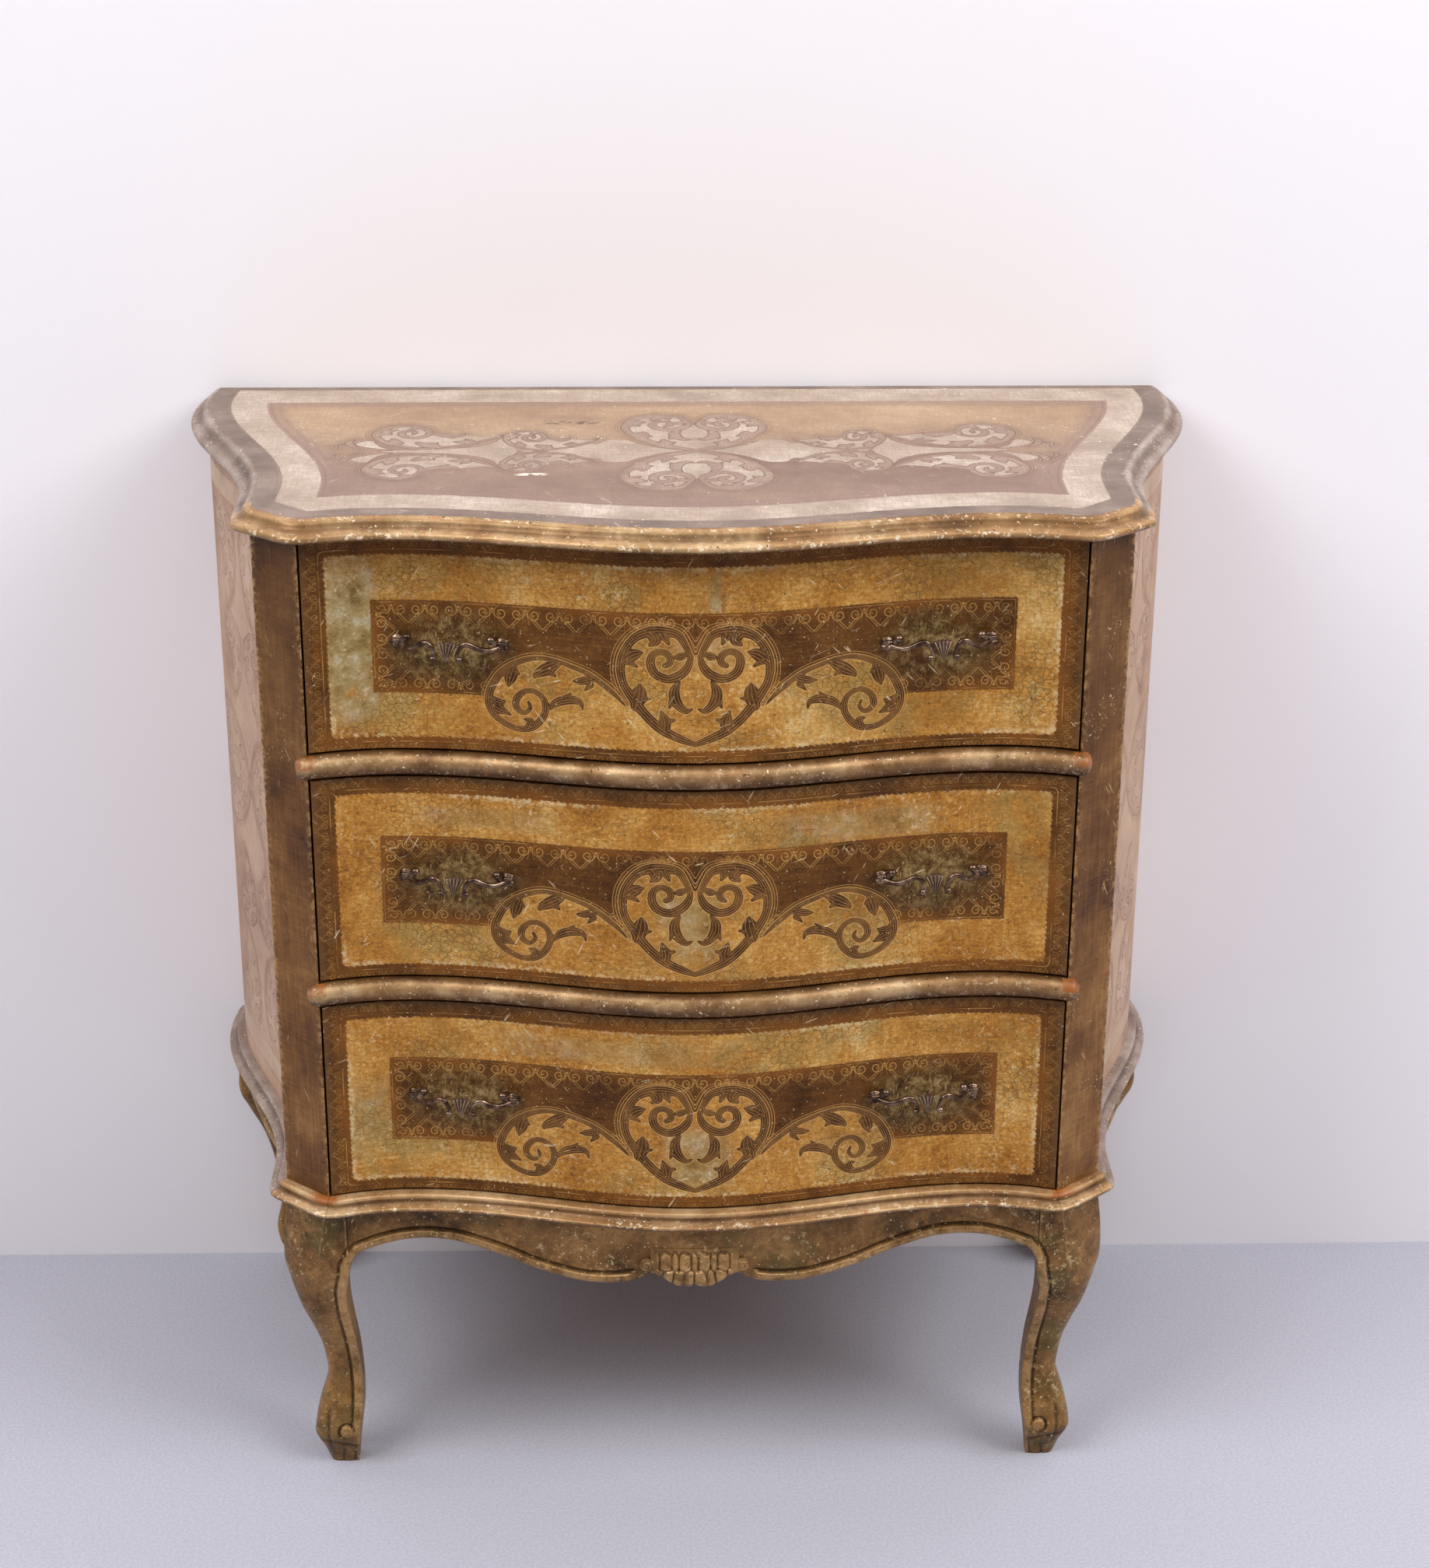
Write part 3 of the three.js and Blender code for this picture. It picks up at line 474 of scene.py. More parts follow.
# Ornament: acanthus strokes of the left half, mirrored on the right. A stroke's rows hold the place
# from the middle, the height above the opening's floor, and half the stroke's width.
heartMotif = dict(
    band=[(0, 16.5, 2.2), (-10.8, 20.8, 3.3), (-23.5, 27.3, 3.8), (-34.6, 37.5, 3.8), (-43.3, 48.9, 3.8),
          (-51.1, 61.9, 3.2), (-53, 74.4, 3.4), (-50.2, 86.2, 3.2), (-42.3, 96.7, 3.4),
          (-32.1, 101.2, 4.2), (-22, 101.6, 4), (-12.6, 99.3, 3.2), (-7.5, 91.9, 2.7), (-4, 84.4, 2.1)],
    lowLeaf=[(-42.5, 44.7, 4), (-40.1, 53.3, 6), (-39.3, 62.6, 0.6)],
    lowCurl=[(-39.3, 49.9, 3.2), (-32.2, 51.1, 1.1)],
    footLeaf=[(-21.9, 26.1, 3.2), (-21.9, 33.7, 4.4), (-24.7, 42.9, 0.6)],
    footCurl=[(-20.4, 33.7, 2.8), (-15.6, 35.1, 1.8)],
    flankLeaf=[(-52.6, 76.9, 2.4), (-44.7, 83.2, 4.8), (-36.5, 86, 0.5)],
    flankCurl=[(-47.9, 78.9, 3.2), (-41.6, 75, 1.4)],
    crownLeaf=[(-32.9, 101.2, 4), (-28.2, 95.6, 4.4), (-32.2, 91.3, 1.6)],
    crownCurl=[(-22, 99.1, 4), (-18.9, 92.5, 1.4)],
    volute=[(-3.2, 82.8, 2.1), (-5.5, 75.3, 3.2), (-11, 69.3, 3.7), (-19.6, 66.2, 3.5), (-28.3, 69.7, 3.5),
          (-31.8, 77.1, 3.5), (-30.2, 83.9, 3), (-24.3, 86.6, 2.7), (-18.8, 83.8, 2.9), (-18.1, 78.4, 2.7),
          (-21.6, 76.2, 2.4)],
    bud=[(-5.5, 85.3, 1.3), (-11, 83.1, 3.2), (-15.3, 82.6, 0.8)],
    drop=[(-11.7, 63.5, 1.6), (-14.9, 57.5, 3.8), (-14.5, 50.8, 4.4), (-10.9, 45, 3.4), (-6.2, 42, 2.4),
          (-1.8, 43.8, 0.8)],
    dropCurl=[(-17.2, 49.1, 2.4), (-18.8, 43.5, 0.8)],
)
scrollMotif = dict(
    band=[(-47.5, 41.7, 0.3), (-55.1, 50.8, 1.8), (-64.7, 59, 2.4), (-75.7, 67, 2.1), (-88.2, 71.9, 2),
          (-100.6, 75.6, 1.8), (-113.1, 76.3, 2.1), (-125.7, 72.3, 2.4), (-137.1, 64.7, 2.8),
          (-144.3, 54.5, 3.1), (-148, 43.8, 3.1), (-146.1, 33.5, 2.8), (-138.6, 25.9, 2.7),
          (-128.8, 21.5, 2.5), (-119.6, 21.9, 2.8), (-112.5, 26.7, 2.9), (-107.8, 33.9, 2.8),
          (-107, 41.4, 2.7), (-109.4, 47.1, 2.4), (-114.9, 50.7, 2.4), (-121.2, 50.5, 2.4),
          (-126.9, 45.6, 2.8), (-128.4, 39.5, 2.8), (-125.7, 35.2, 2.5), (-121.5, 34.1, 2),
          (-117.9, 38.2, 1.8), (-119.3, 42.5, 1.3)],
    firstLeaf=[(-74.4, 63.4, 2.8), (-81.3, 61.4, 3.1), (-87.6, 60.9, 0.6)],
    firstCurl=[(-74.4, 59, 2.8), (-79.3, 53.8, 0.7)],
    secondLeaf=[(-95.1, 74.2, 1.4), (-104.9, 69, 4.9), (-113.3, 63.8, 2.8), (-114.4, 60.7, 0.6)],
    secondCurl=[(-103.5, 66.9, 3.5), (-99.4, 63.5, 1.1)],
    thirdLeaf=[(-128.6, 69.1, 2.1), (-131.5, 61.5, 4.9), (-133.8, 52.4, 0.6)],
    thirdCurl=[(-128, 64.7, 2.8), (-125.2, 62.8, 0.8)],
    fourthLeaf=[(-146.6, 43.9, 2.1), (-140.4, 40, 3.5), (-135.4, 42.2, 0.6)],
    fourthCurl=[(-140.5, 35.5, 4.2), (-131.8, 31.3, 0.7)],
    fifthLeaf=[(-119.6, 22.3, 2.8), (-118.1, 27.7, 2.8), (-123.4, 29.1, 0.6)],
    tailLeaf=[(-104.6, 37.9, 1.4), (-98.9, 43.6, 3.4), (-89.8, 46.6, 3.8), (-82.2, 45.1, 2.5),
          (-80.2, 39.3, 0.7)],
    tailCurl=[(-93.3, 47.8, 2.1), (-87.7, 52.4, 0.7)],
)


def blocks(rows, size=4000):
    # rows cut into blocks that are quick to work out
    return np.array_split(rows, len(rows) // size + 1)


def strokeField(x, z, motifs, reach=12.0):
    # to the nearest stroke: signed distance, place across it from -1 to 1, and half its width
    flat = np.column_stack([x.ravel(), z.ravel()])
    found = np.column_stack([np.full(len(flat), reach), np.zeros(len(flat)), np.ones(len(flat))])
    for rows in [rows for motif in motifs for rows in motif.values()]:
        line = smoothLine(rows, 12)
        along = np.gradient(line[:, :2], axis=0)
        along /= np.maximum(np.linalg.norm(along, axis=1), 1e-9)[:, None]
        low, high = line[:, :2].min(0) - reach, line[:, :2].max(0) + reach
        near = np.flatnonzero(((flat > low) & (flat < high)).all(1))
        for part in blocks(near):
            gap = flat[part, None] - line[None, :, :2]
            distance = np.hypot(gap[..., 0], gap[..., 1]) - line[:, 2]
            nearest, pick = distance.argmin(1), np.arange(len(part))
            offset = gap[pick, nearest]
            across = along[nearest, 0] * offset[:, 1] - along[nearest, 1] * offset[:, 0]
            wide = line[nearest, 2]
            values = np.column_stack([distance[pick, nearest], across / np.maximum(wide, 0.3), wide])
            better = values[:, 0] < found[part, 0]
            found[part[better]] = values[better]
    return found.reshape(*x.shape, 3)


def outlineDistance(x, z, outline, reach=groundReach, spacing=0.9):
    # distance to a closed outline, negative inside, where a ray crosses it an odd number of times
    corners = np.asarray(outline, float)
    closed = np.vstack([corners, corners[:1]])
    place = np.concatenate([[0], np.cumsum(np.linalg.norm(np.diff(closed, axis=0), axis=1))])
    even = np.linspace(0, place[-1], int(place[-1] / spacing))
    dense = np.column_stack([np.interp(even, place, closed[:, k]) for k in (0, 1)])
    flat = np.column_stack([x.ravel(), z.ravel()])
    found = np.full(len(flat), reach)
    near = np.flatnonzero(((flat > dense.min(0) - reach) & (flat < dense.max(0) + reach)).all(1))
    a, b = closed[:-1], closed[1:]
    for part in blocks(near):
        gap = flat[part, None] - dense[None]
        distance = np.hypot(gap[..., 0], gap[..., 1]).min(1)
        px, pz = flat[part, :1], flat[part, 1:]
        rise = np.where(np.abs(b[:, 1] - a[:, 1]) < 1e-9, 1e-9, b[:, 1] - a[:, 1])
        meeting = (b[:, 0] - a[:, 0]) * (pz - a[:, 1]) / rise + a[:, 0]
        crossed = ((a[:, 1] > pz) != (b[:, 1] > pz)) & (px < meeting)
        found[part] = np.where(crossed.sum(1) % 2 == 1, -distance, distance)
    return found.reshape(x.shape)


def heartOutline():
    # the band's middle line and its mirror image, as one closed outline
    left = smoothLine(heartMotif["band"])[:, :2]
    return np.vstack([left, left[::-1] * (-1, 1)])


# The ground inside a scroll follows its band for some rows and then these points: along its tail leaf
# on the top and the sides, and open below on the drawers.
scrollGrounds = dict(
    closed=(17, [(-104, 38), (-98, 43), (-82, 43), (-60, 49)]),
    open=(12, [(-146, 26), (-48, 26)]),
)


def scrollOutline(kind):
    # the first rows of the scroll's band, closed by the rest of the ground
    rows, rest = scrollGrounds[kind]
    line = smoothLine(scrollMotif["band"])[:, :2]
    return np.vstack([line[:rows * curveSteps], rest])


# Chain of the motifs, as on the top and the sides: one quarter of it, mirrored both ways. Lozenges of
# plain ground lie between the heart and the two scrolls on either side of it.
chain = dict(
    heartFoot=15.5, heartRise=1.14, heartSize=1.1, scrollTop=76.3, scrollEnd=-148.0,
    outerAt=95.0, outerRise=1.15, outerLift=8.0, outerSize=1.07,
    innerAt=143.5, innerScale=0.72, innerRise=0.95, innerLift=3.0, innerSize=0.82,
    lozenges=[
        [(0, 0), (13, 2), (23, 6), (33, 12), (43, 20), (48, 26), (53, 30), (63, 31), (69, 28), (73, 20),
         (81, 21), (90, 19), (98, 12), (103, 5), (118, 3), (135, 0), (118, -3), (60, -3)],
        [(133, 0), (135, 8), (140, 17), (143, 27), (145, 38), (152, 24), (163, 14), (175, 9), (188, 6),
         (203, 5), (225, 3), (235, 0), (200, -3), (160, -3)],
        [(215, 2), (233, 9), (240, 20), (243, 29), (250, 28), (256, 20), (248, 12), (235, 6)],
    ],
    ends=dict(tip=[(257, 33, 1), (261, 26, 3), (259, 16, 3), (252, 8, 1)],
              point=[(264, 22, 1), (270, 16, 2), (268, 8, 0.6)]),
)


def chainField(u, v):
    # leaf values and ground distance of the whole chain; u runs along it and v across, both from its middle
    u, v = np.abs(u), np.abs(v)
    top, scroll = chain["scrollTop"], scrollOutline("closed")
    inner = chain["scrollEnd"] + (chain["innerAt"] - u) / chain["innerScale"]
    places = [
        (-u, chain["heartFoot"] + v / chain["heartRise"], heartMotif, heartOutline(), chain["heartSize"]),
        (chain["outerAt"] - u, top - (v - chain["outerLift"]) / chain["outerRise"], scrollMotif, scroll,
         chain["outerSize"]),
        (inner, top - (v - chain["innerLift"]) / chain["innerRise"], scrollMotif, scroll, chain["innerSize"]),
    ]
    leaf, ground = strokeField(u, v, [chain["ends"]]), np.full(u.shape, groundReach)
    for x, z, motif, outline, size in places:
        found = strokeField(x, z, [motif]) * (size, 1, size)
        leaf = np.where((found[..., 0] < leaf[..., 0])[..., None], found, leaf)
        ground = np.minimum(ground, outlineDistance(x, z, outline) * size)
    for outline in chain["lozenges"]:
        ground = np.minimum(ground, outlineDistance(u, v, smoothLine(outline, 5)))
    return leaf, ground


# Finishes. Lengths inside a finish are in millimetres where it reads a piece's own fields. The other
# numbers are the scale, detail and roughness of a noise and the two values between which a mark comes in.
def leafLines(leaf, veins=0.26):
    # incised outline of a stroke, and its veins along the flow
    distance, across, wide = leaf
    thin = veins / wide
    side, low, high = abs(across), thin * 1.3, thin * 0.5
    vein = over(side.step(low, high), abs(side - 0.52).step(low, high))
    return distance.near(0.1, 0.42), vein * (distance + 0.7).inside() * wide.step(1.2, 2.2)


tooling = dict(cell=24.0, spiralAt=(6.0, 5.6), radius=5.3, pitch=3.1, archTop=16.0, archSlope=1.1,
               archEnd=9.6)


def tooledBorder(f, along, depth, size=1.0):
    # pairs of spirals with pointed arches between them, and leaves and dots, as stamped with small punches
    cell = tooling["cell"]
    u = abs((f.math("FRACT", along * (1 / (cell * size))) - 0.5) * cell)
    deep = depth * (1 / size)
    du, dv = u - tooling["spiralAt"][0], deep - tooling["spiralAt"][1]
    radius = (du * du + dv * dv).root()
    turn = f.math("ARCTAN2", dv, du) * (1 / (2 * math.pi))
    winding = abs(f.math("FRACT", radius * (1 / tooling["pitch"]) + turn) - 0.5)
    spiral = winding.step(0.17, 0.07) * radius.step(tooling["radius"], tooling["radius"] - 0.4)
    arch = deep - (tooling["archTop"] - u * tooling["archSlope"])
    end = tooling["archEnd"]
    arches = over(arch.near(0.0, 0.4), arch.near(2.4, 0.28)) * u.step(end, end - 0.8)
    far = u - cell / 2
    dot = (far * far + f.math("POWER", deep - 3.0, 2.0)).root()
    bend = far * far * 1.4 + 5.0
    tip = bend.near(deep, 0.5) * u.step(8.8, 9.4) * deep.step(14.0, 13.0)
    return over(spiral, arches, dot.step(1.3, 0.8), tip)


gilding = dict(
    gold=[(124, 74, 22), (170, 110, 40), (198, 138, 58), (218, 168, 90), (236, 202, 138)],
    patina=[(112, 92, 50), (152, 126, 76), (174, 152, 104), (198, 184, 152)],
    glaze=[(56, 31, 9), (88, 52, 16), (108, 67, 24), (136, 92, 40)],
    leaf=[(66, 40, 16), (92, 58, 26), (116, 78, 38)],
    rub=[(48, 32, 14), (84, 62, 28), (122, 96, 52), (164, 138, 90)],
    cracks=190.0, bandHalf=(262.5, 69.5), panelHalf=(231.0, 35.5), bandRound=7.0, middle=80.0, handleAt=174.0,
    scallop=0.75, edgeFrom=272.0, punchesIn=(1.5, 19.0), punchesOut=3.6, rails=(1.8, 3.2),
    heartLines=(5.4, 7.4),
    diagonals=[(0, 0.5, 0), (0, -0.75, 0), (0, 1.25, 0)],
)


def makeGildedDrawer():
    # gold leaf rubbed with a brown glaze, which is left on the border, the panel and the leaves
    f = Finish("gildedDrawer", 0.45, 0.1, 0.2)
    x, height, wear = f.attribute("face")
    leaf = f.attribute("leaf")
    ground, heart, _ = f.attribute("ground")
    ax, level = abs(x), height - gilding["middle"]
    ragged = (f.noise(420, 3) - 0.5) * 3.0
    scallop = abs(f.math("SINE", (x + height) * gilding["scallop"])) * 0.9
    outX, outZ = ax - gilding["bandHalf"][0], abs(level) - gilding["bandHalf"][1]
    outer = f.math("SMOOTH_MAX", outX, outZ, gilding["bandRound"])
    worn = outer + (ragged + scallop)
    inX, inZ = ax - gilding["panelHalf"][0], abs(level) - gilding["panelHalf"][1]
    panel = over(inX, inZ)
    wornPanel = panel + (ragged + scallop) * 0.5
    band = worn.inside(0.6) * (1 - wornPanel.inside(0.5))
    gold = over(band, ground.inside(0.2))

    # gold: clouds and fine grain, dull green places, a net of cracks, cloth marks and pale rubs
    grain = f.noise(1.0, 5, 0.75, f.scaled((330, 330, 420)))
    cloud = f.noise(17, 6, 0.7) * 0.5 + grain * 0.5
    leafGold = f.ramp(cloud, 0.36, 0.64, gilding["gold"])
    leafGold = f.mix(f.weave(430.0).step(0.45, 0.58) * 0.3, leafGold, tone(138, 94, 42))
    brushed = f.noise(1.0, 4, 0.65, f.scaled((34, 34, 700)))
    leafGold = f.mix(brushed.step(0.5, 0.66) * 0.3, leafGold, tone(142, 92, 38))
    dull = f.patches(8, 0.46, 0.62, 5) * f.patches(60, 0.34, 0.56, 5)
    leafGold = f.mix(dull * 0.5, leafGold, tone(150, 128, 70))
    patina = f.ramp(f.noise(48, 6, 0.75), 0.36, 0.64, gilding["patina"])
    leafGold = f.mix(wear * f.patches(30, 0.3, 0.5, 5), leafGold, patina)
    cell = f.cracks(gilding["cracks"])
    net = cell.step(0.08, 0.02) * f.patches(16, 0.46, 0.62) * (1 - wear * 0.8)
    leafGold = f.mix(net * 0.45, leafGold, tone(92, 58, 24))
    pale = f.noise(230, 5, 0.75).step(0.55, 0.66) * f.patches(14, 0.46, 0.6)
    leafGold = f.mix(pale * 0.65, leafGold, tone(234, 208, 158))
    rim = worn.step(-5.0, -1.0) * f.patches(240, 0.44, 0.56) * f.patches(12, 0.44, 0.58)
    leafGold = f.mix(rim * 0.7, leafGold, tone(230, 204, 154))

    # glaze: brown with level streaks, orange beside the gold
    streaks = f.noise(1.0, 4, 0.7, f.scaled((26, 26, 620)))
    tint = f.noise(20, 6, 0.7) * 0.5 + (streaks * 0.25 + grain * 0.25)
    glaze = f.ramp(tint, 0.38, 0.62, gilding["glaze"])
    warm = least(abs(panel), abs(outer)).step(13.0, 1.0)
    glaze = f.mix(warm * f.patches(16, 0.36, 0.6) * 0.65, glaze, tone(146, 88, 30))
    edge = over(ax - gilding["edgeFrom"], outZ - 7.0).step(0.0, 5.0)
    glaze = f.mix(edge * 0.45, glaze, tone(112, 82, 50))

    # punched border inside the panel, and a plainer one outside the band
    longSide = (inX - inZ).step(0.0, -0.01)
    along = x * longSide + level * (1 - longSide)
    depth = panel * -1.0
    start, end = gilding["punchesIn"]
    punched = (tooledBorder(f, along, depth - start) * depth.step(start - 0.5, start + 0.3)
               * depth.step(end, end - 1.5) * ground.step(0.6, 1.6))
    rails = over(depth.near(gilding["rails"][0], 0.35), outer.near(gilding["rails"][1], 0.35))
    outLong = (outX - outZ).step(0.0, -0.01)
    outAlong = x * outLong + height * (1 - outLong)
    start = gilding["punchesOut"]
    outPunched = tooledBorder(f, outAlong, outer - start, 0.6) * outer.step(start, start + 0.8)
    rails = rails * ground.step(0.5, 1.5) * f.patches(45, 0.36, 0.6) * 0.8
    tooled = over(punched, rails, outPunched * 0.6)
    faded = 0.3 + f.patches(20, 0.34, 0.56) * 0.65
    glaze = f.mix(tooled * faded, glaze, tone(196, 146, 78))
    sunk = (tooled - 0.35).near(0.0, 0.2)
    glaze = f.mix(sunk * 0.4, glaze, tone(58, 34, 12))

    # wear round the handles: dark and olive blotches with pale upright strokes
    handX = (ax - gilding["handleAt"]) * 0.6
    reach = (handX * handX + level * level).root()
    rub = reach.step(34.0, 12.0) * panel.inside(0.5) * ground.step(0.0, 2.0)
    blotches = f.ramp(f.noise(120, 7, 0.8), 0.38, 0.59, gilding["rub"])
    glaze = f.mix(rub * f.noise(45, 4, 0.7).step(0.3, 0.5) * 0.85, glaze, blotches)
    strokes = f.noise(1.0, 3, 0.6, f.scaled((640, 640, 120), (0, 0.12, 0)))
    glaze = f.mix(rub * strokes.step(0.6, 0.68) * 0.6, glaze, tone(196, 164, 112))

    surface = f.mix(gold, glaze, leafGold)
    leafMask = leaf[0].inside(0.2)
    surface = f.mix(leafMask, surface, f.mottled(gilding["leaf"], 90, 5))
    outline, vein = leafLines(leaf)
    surface = f.mix(vein * 0.62, surface, tone(190, 138, 74))
    surface = f.mix(outline * 0.72, surface, tone(208, 158, 90))
    rings = over(heart.near(gilding["heartLines"][0], 0.3), heart.near(gilding["heartLines"][1], 0.26))
    halo = over(rings * height.step(30.0, 40.0), leaf[0].near(2.0, 0.26))
    halo = halo * ground.step(0.6, 1.6)
    surface = f.mix(halo * 0.66, surface, tone(206, 154, 86))
    surface = f.mix(f.scratches(gilding["diagonals"]) * 0.75, surface, tone(238, 218, 174))
    surface = f.mix(f.flecks(620, 0.69), surface, tone(228, 206, 162))
    surface = f.mix(f.flecks(400, 0.69, 1.0) * 0.8, surface, tone(44, 28, 12))

    roughness = 0.34 + (f.noise(120, 4) * 0.24 + (1 - gold) * 0.06)
    relief = grain * 0.3 - over(outline, vein, tooled * 0.7, net)
    return f.done(surface, roughness, None, f.bump(relief, 0.0005, 0.6))


paint = dict(
    field=[(118, 94, 80), (138, 112, 96), (153, 127, 108), (168, 141, 120)],
    fieldBack=[(154, 122, 96), (172, 139, 109), (186, 154, 121), (197, 166, 135)],
    cream=[(162, 144, 127), (182, 163, 145), (194, 176, 159), (210, 194, 178)],
    edge=[(112, 94, 84), (129, 110, 98), (146, 127, 115)],
    leaf=[(148, 121, 106), (161, 136, 119), (175, 149, 130)],
    side=[(152, 114, 88), (173, 135, 107), (185, 149, 120), (199, 165, 137)],
    sideCream=[(184, 156, 130), (202, 176, 150), (214, 192, 166)],
    # distances from the side, the front and the back, at the pale band's outer and inner edges
    bandOut=(16.8, 16.5, 9.0), bandIn=(45.5, 49.0, 47.0),
    # place along and across the chain, and half the size of the patch
    darkSpot=(-96.0, 79.0, 22.0, 4.5), chippedSpot=(-121.0, -61.0, 10.0, 3.0),
    sideBand=(17.6, 34.4), sideLines=(15.0, 37.5, 41.0), sideField=45.0,
    flatScratches=[(0, 0, 0.5), (0, 0, -0.7), (0, 0, 1.3)],
    sideScratches=[(0, 0.3, 1.57), (0, -0.5, 1.57)],
)


def makePaintedTop():
    # pale bands and ornament over a brown-pink ground that turns tan behind
    f = Finish("paintedTop", 0.46, 0.0, 0.3)
    side, front, cant = f.attribute("inset")
    leaf = f.attribute("leaf")
    ground, u, v = f.attribute("ground")
    behind = ((chest["depth"] + chest["shift"]) * mm - f.axes()[1]) * (1 / mm)
    ragged = (f.noise(380, 3) - 0.5) * 2.6
    scallop = abs(f.math("SINE", (front + behind) * 0.9)) * 0.8
    outSide, outFront, outBehind = paint["bandOut"]
    inSide, inFront, inBehind = paint["bandIn"]
    outer = least(least(side - outSide, front - outFront), least(behind - outBehind, cant))
    inner = least(least(side - inSide, front - inFront), behind - inBehind)
    bandOut = outer + ragged - scallop
    bandIn = inner + ragged + scallop
    band = bandOut.step(-0.6, 0.6) * bandIn.step(0.8, -0.4)

    cloth = f.weave()
    threads = cloth.step(0.42, 0.58)
    before, beyond = (f.mottled(paint[key], 9, 7, 0.26, 0.74) for key in ("field", "fieldBack"))
    field = f.mix(behind.step(270.0, 60.0), before, beyond)
    field = f.mix(inner.step(24.0, 2.0) * 0.65, field, tone(150, 122, 110))
    surface = f.mix(outer.step(1.0, -1.0), field, f.mottled(paint["edge"], 24, 5))
    cream = f.mottled(paint["cream"], 20, 7)
    cream = f.mix(threads * 0.34, cream, tone(178, 154, 136))
    surface = f.mix(band * 0.95, surface, cream)
    hatch = over(outer.near(-3.2, 0.6), inner.near(3.2, 0.6), inner.near(9.5, 0.4), inner.near(11.5, 0.3))
    surface = f.mix(hatch * 0.5, surface, tone(122, 98, 88))

    chainMask = inner.step(1.0, 2.0)
    leafMask = leaf[0].inside(0.35) * chainMask
    groundMask = ground.inside(0.4) * chainMask * f.noise(150, 4, 0.7).step(0.26, 0.36)
    surface = f.mix(groundMask * 0.84, surface, cream)
    surface = f.mix(leafMask * 0.8, surface, f.mottled(paint["leaf"], 60, 5))
    outline, vein = leafLines(leaf, 0.36)
    outline = over(outline, leaf[0].near(0.0, 0.62))
    rimLine = ground.near(0.2, 0.6) * leaf[0].step(0.4, 1.0)
    faint = 0.35 + f.patches(60, 0.32, 0.52) * 0.65
    surface = f.mix(over(outline, rimLine) * chainMask * faint * 0.85, surface, tone(116, 88, 70))
    surface = f.mix(vein * chainMask * 0.6, surface, tone(126, 98, 80))
    halo = over(leaf[0].near(2.6, 0.5), leaf[0].near(4.8, 0.42))
    surface = f.mix(halo * ground.step(0.5, 1.5) * faint * chainMask * 0.7, surface, tone(122, 94, 78))

    surface = f.mix(threads * 0.2, surface, tone(112, 88, 76))
    atU, atV, wide, tall = paint["darkSpot"]
    spots = u.near(atU, wide) * v.near(atV, tall) * f.noise(140, 3).step(0.5, 0.56)
    surface = f.mix(spots * 0.8, surface, tone(78, 62, 54))
    atU, atV, wide, tall = paint["chippedSpot"]
    loss = u.near(atU, wide) * v.near(atV, tall) * f.noise(120, 3).step(0.42, 0.46)
    chips = over(f.flecks(230, 0.67) * f.patches(18, 0.52, 0.62), loss)
    surface = f.mix(chips, surface, tone(236, 226, 206))
    surface = f.mix(f.scratches(paint["flatScratches"], 1.2) * 0.35, surface, tone(226, 212, 194))
    roughness = 0.36 + f.noise(40, 5) * 0.2
    relief = cloth * 0.6 - over(outline * chainMask, chips)
    return f.done(surface, roughness, None, f.bump(relief, 0.0004, 0.5))


def makePaintedSide():
    # rose-beige field with the chain in fine brown lines, inside a paler tooled band
    f = Finish("paintedSide", 0.5, 0.0, 0.35)
    leaf = f.attribute("leaf")
    ground, edge, along = f.attribute("ground")
    ragged = (f.noise(380, 3) - 0.5) * 2.2
    surface = f.mottled(paint["side"], 10, 7)
    start, end = paint["sideBand"]
    worn = edge + ragged
    band = worn.step(start - 0.6, start + 0.6) * worn.step(end + 0.6, end - 0.6)
    surface = f.mix(band * 0.6, surface, f.mottled(paint["sideCream"], 18, 6))
    outLine, inLine, punchLine = paint["sideLines"]
    lines = over(edge.near(outLine, 0.5), edge.near(inLine, 0.5), edge.near(punchLine, 0.35))
    punched = (tooledBorder(f, along, edge - (punchLine + 0.5), 0.75)
               * edge.step(punchLine + 1.0, punchLine + 1.6))
    surface = f.mix(over(lines, punched) * 0.4, surface, tone(128, 94, 74))
    field = edge.step(paint["sideField"] - 1.0, paint["sideField"] + 1.0)
    faint = 0.3 + f.patches(30, 0.3, 0.55) * 0.7
    surface = f.mix(ground.inside(0.4) * field * 0.3, surface, tone(208, 180, 156))
    surface = f.mix(leaf[0].inside(0.3) * field * 0.14, surface, tone(156, 120, 98))
    outline, vein = leafLines(leaf, 0.26)
    halo = over(leaf[0].near(2.4, 0.3), leaf[0].near(4.4, 0.26))
    halo = halo * ground.step(0.5, 1.5)
    lines = over(outline, vein * 0.6, halo * 0.8)
    surface = f.mix(lines * field * faint * 0.8, surface, tone(116, 82, 62))
    streaks = f.noise(1.0, 4, 0.7, f.scaled((300, 300, 40)))
    surface = f.mix(streaks.step(0.42, 0.68) * 0.16, surface, tone(136, 104, 88))
    surface = f.mix(f.scratches(paint["sideScratches"]) * 0.6, surface, tone(228, 214, 196))
    surface = f.mix(f.flecks(520, 0.69), surface, tone(228, 214, 194))
    surface = f.mix(f.flecks(300, 0.69, 1.0) * 0.7, surface, tone(110, 78, 60))
    roughness = 0.4 + f.noise(60, 4) * 0.2
    relief = streaks * 0.3 - outline * field
    return f.done(surface, roughness, None, f.bump(relief, 0.0004, 0.5))


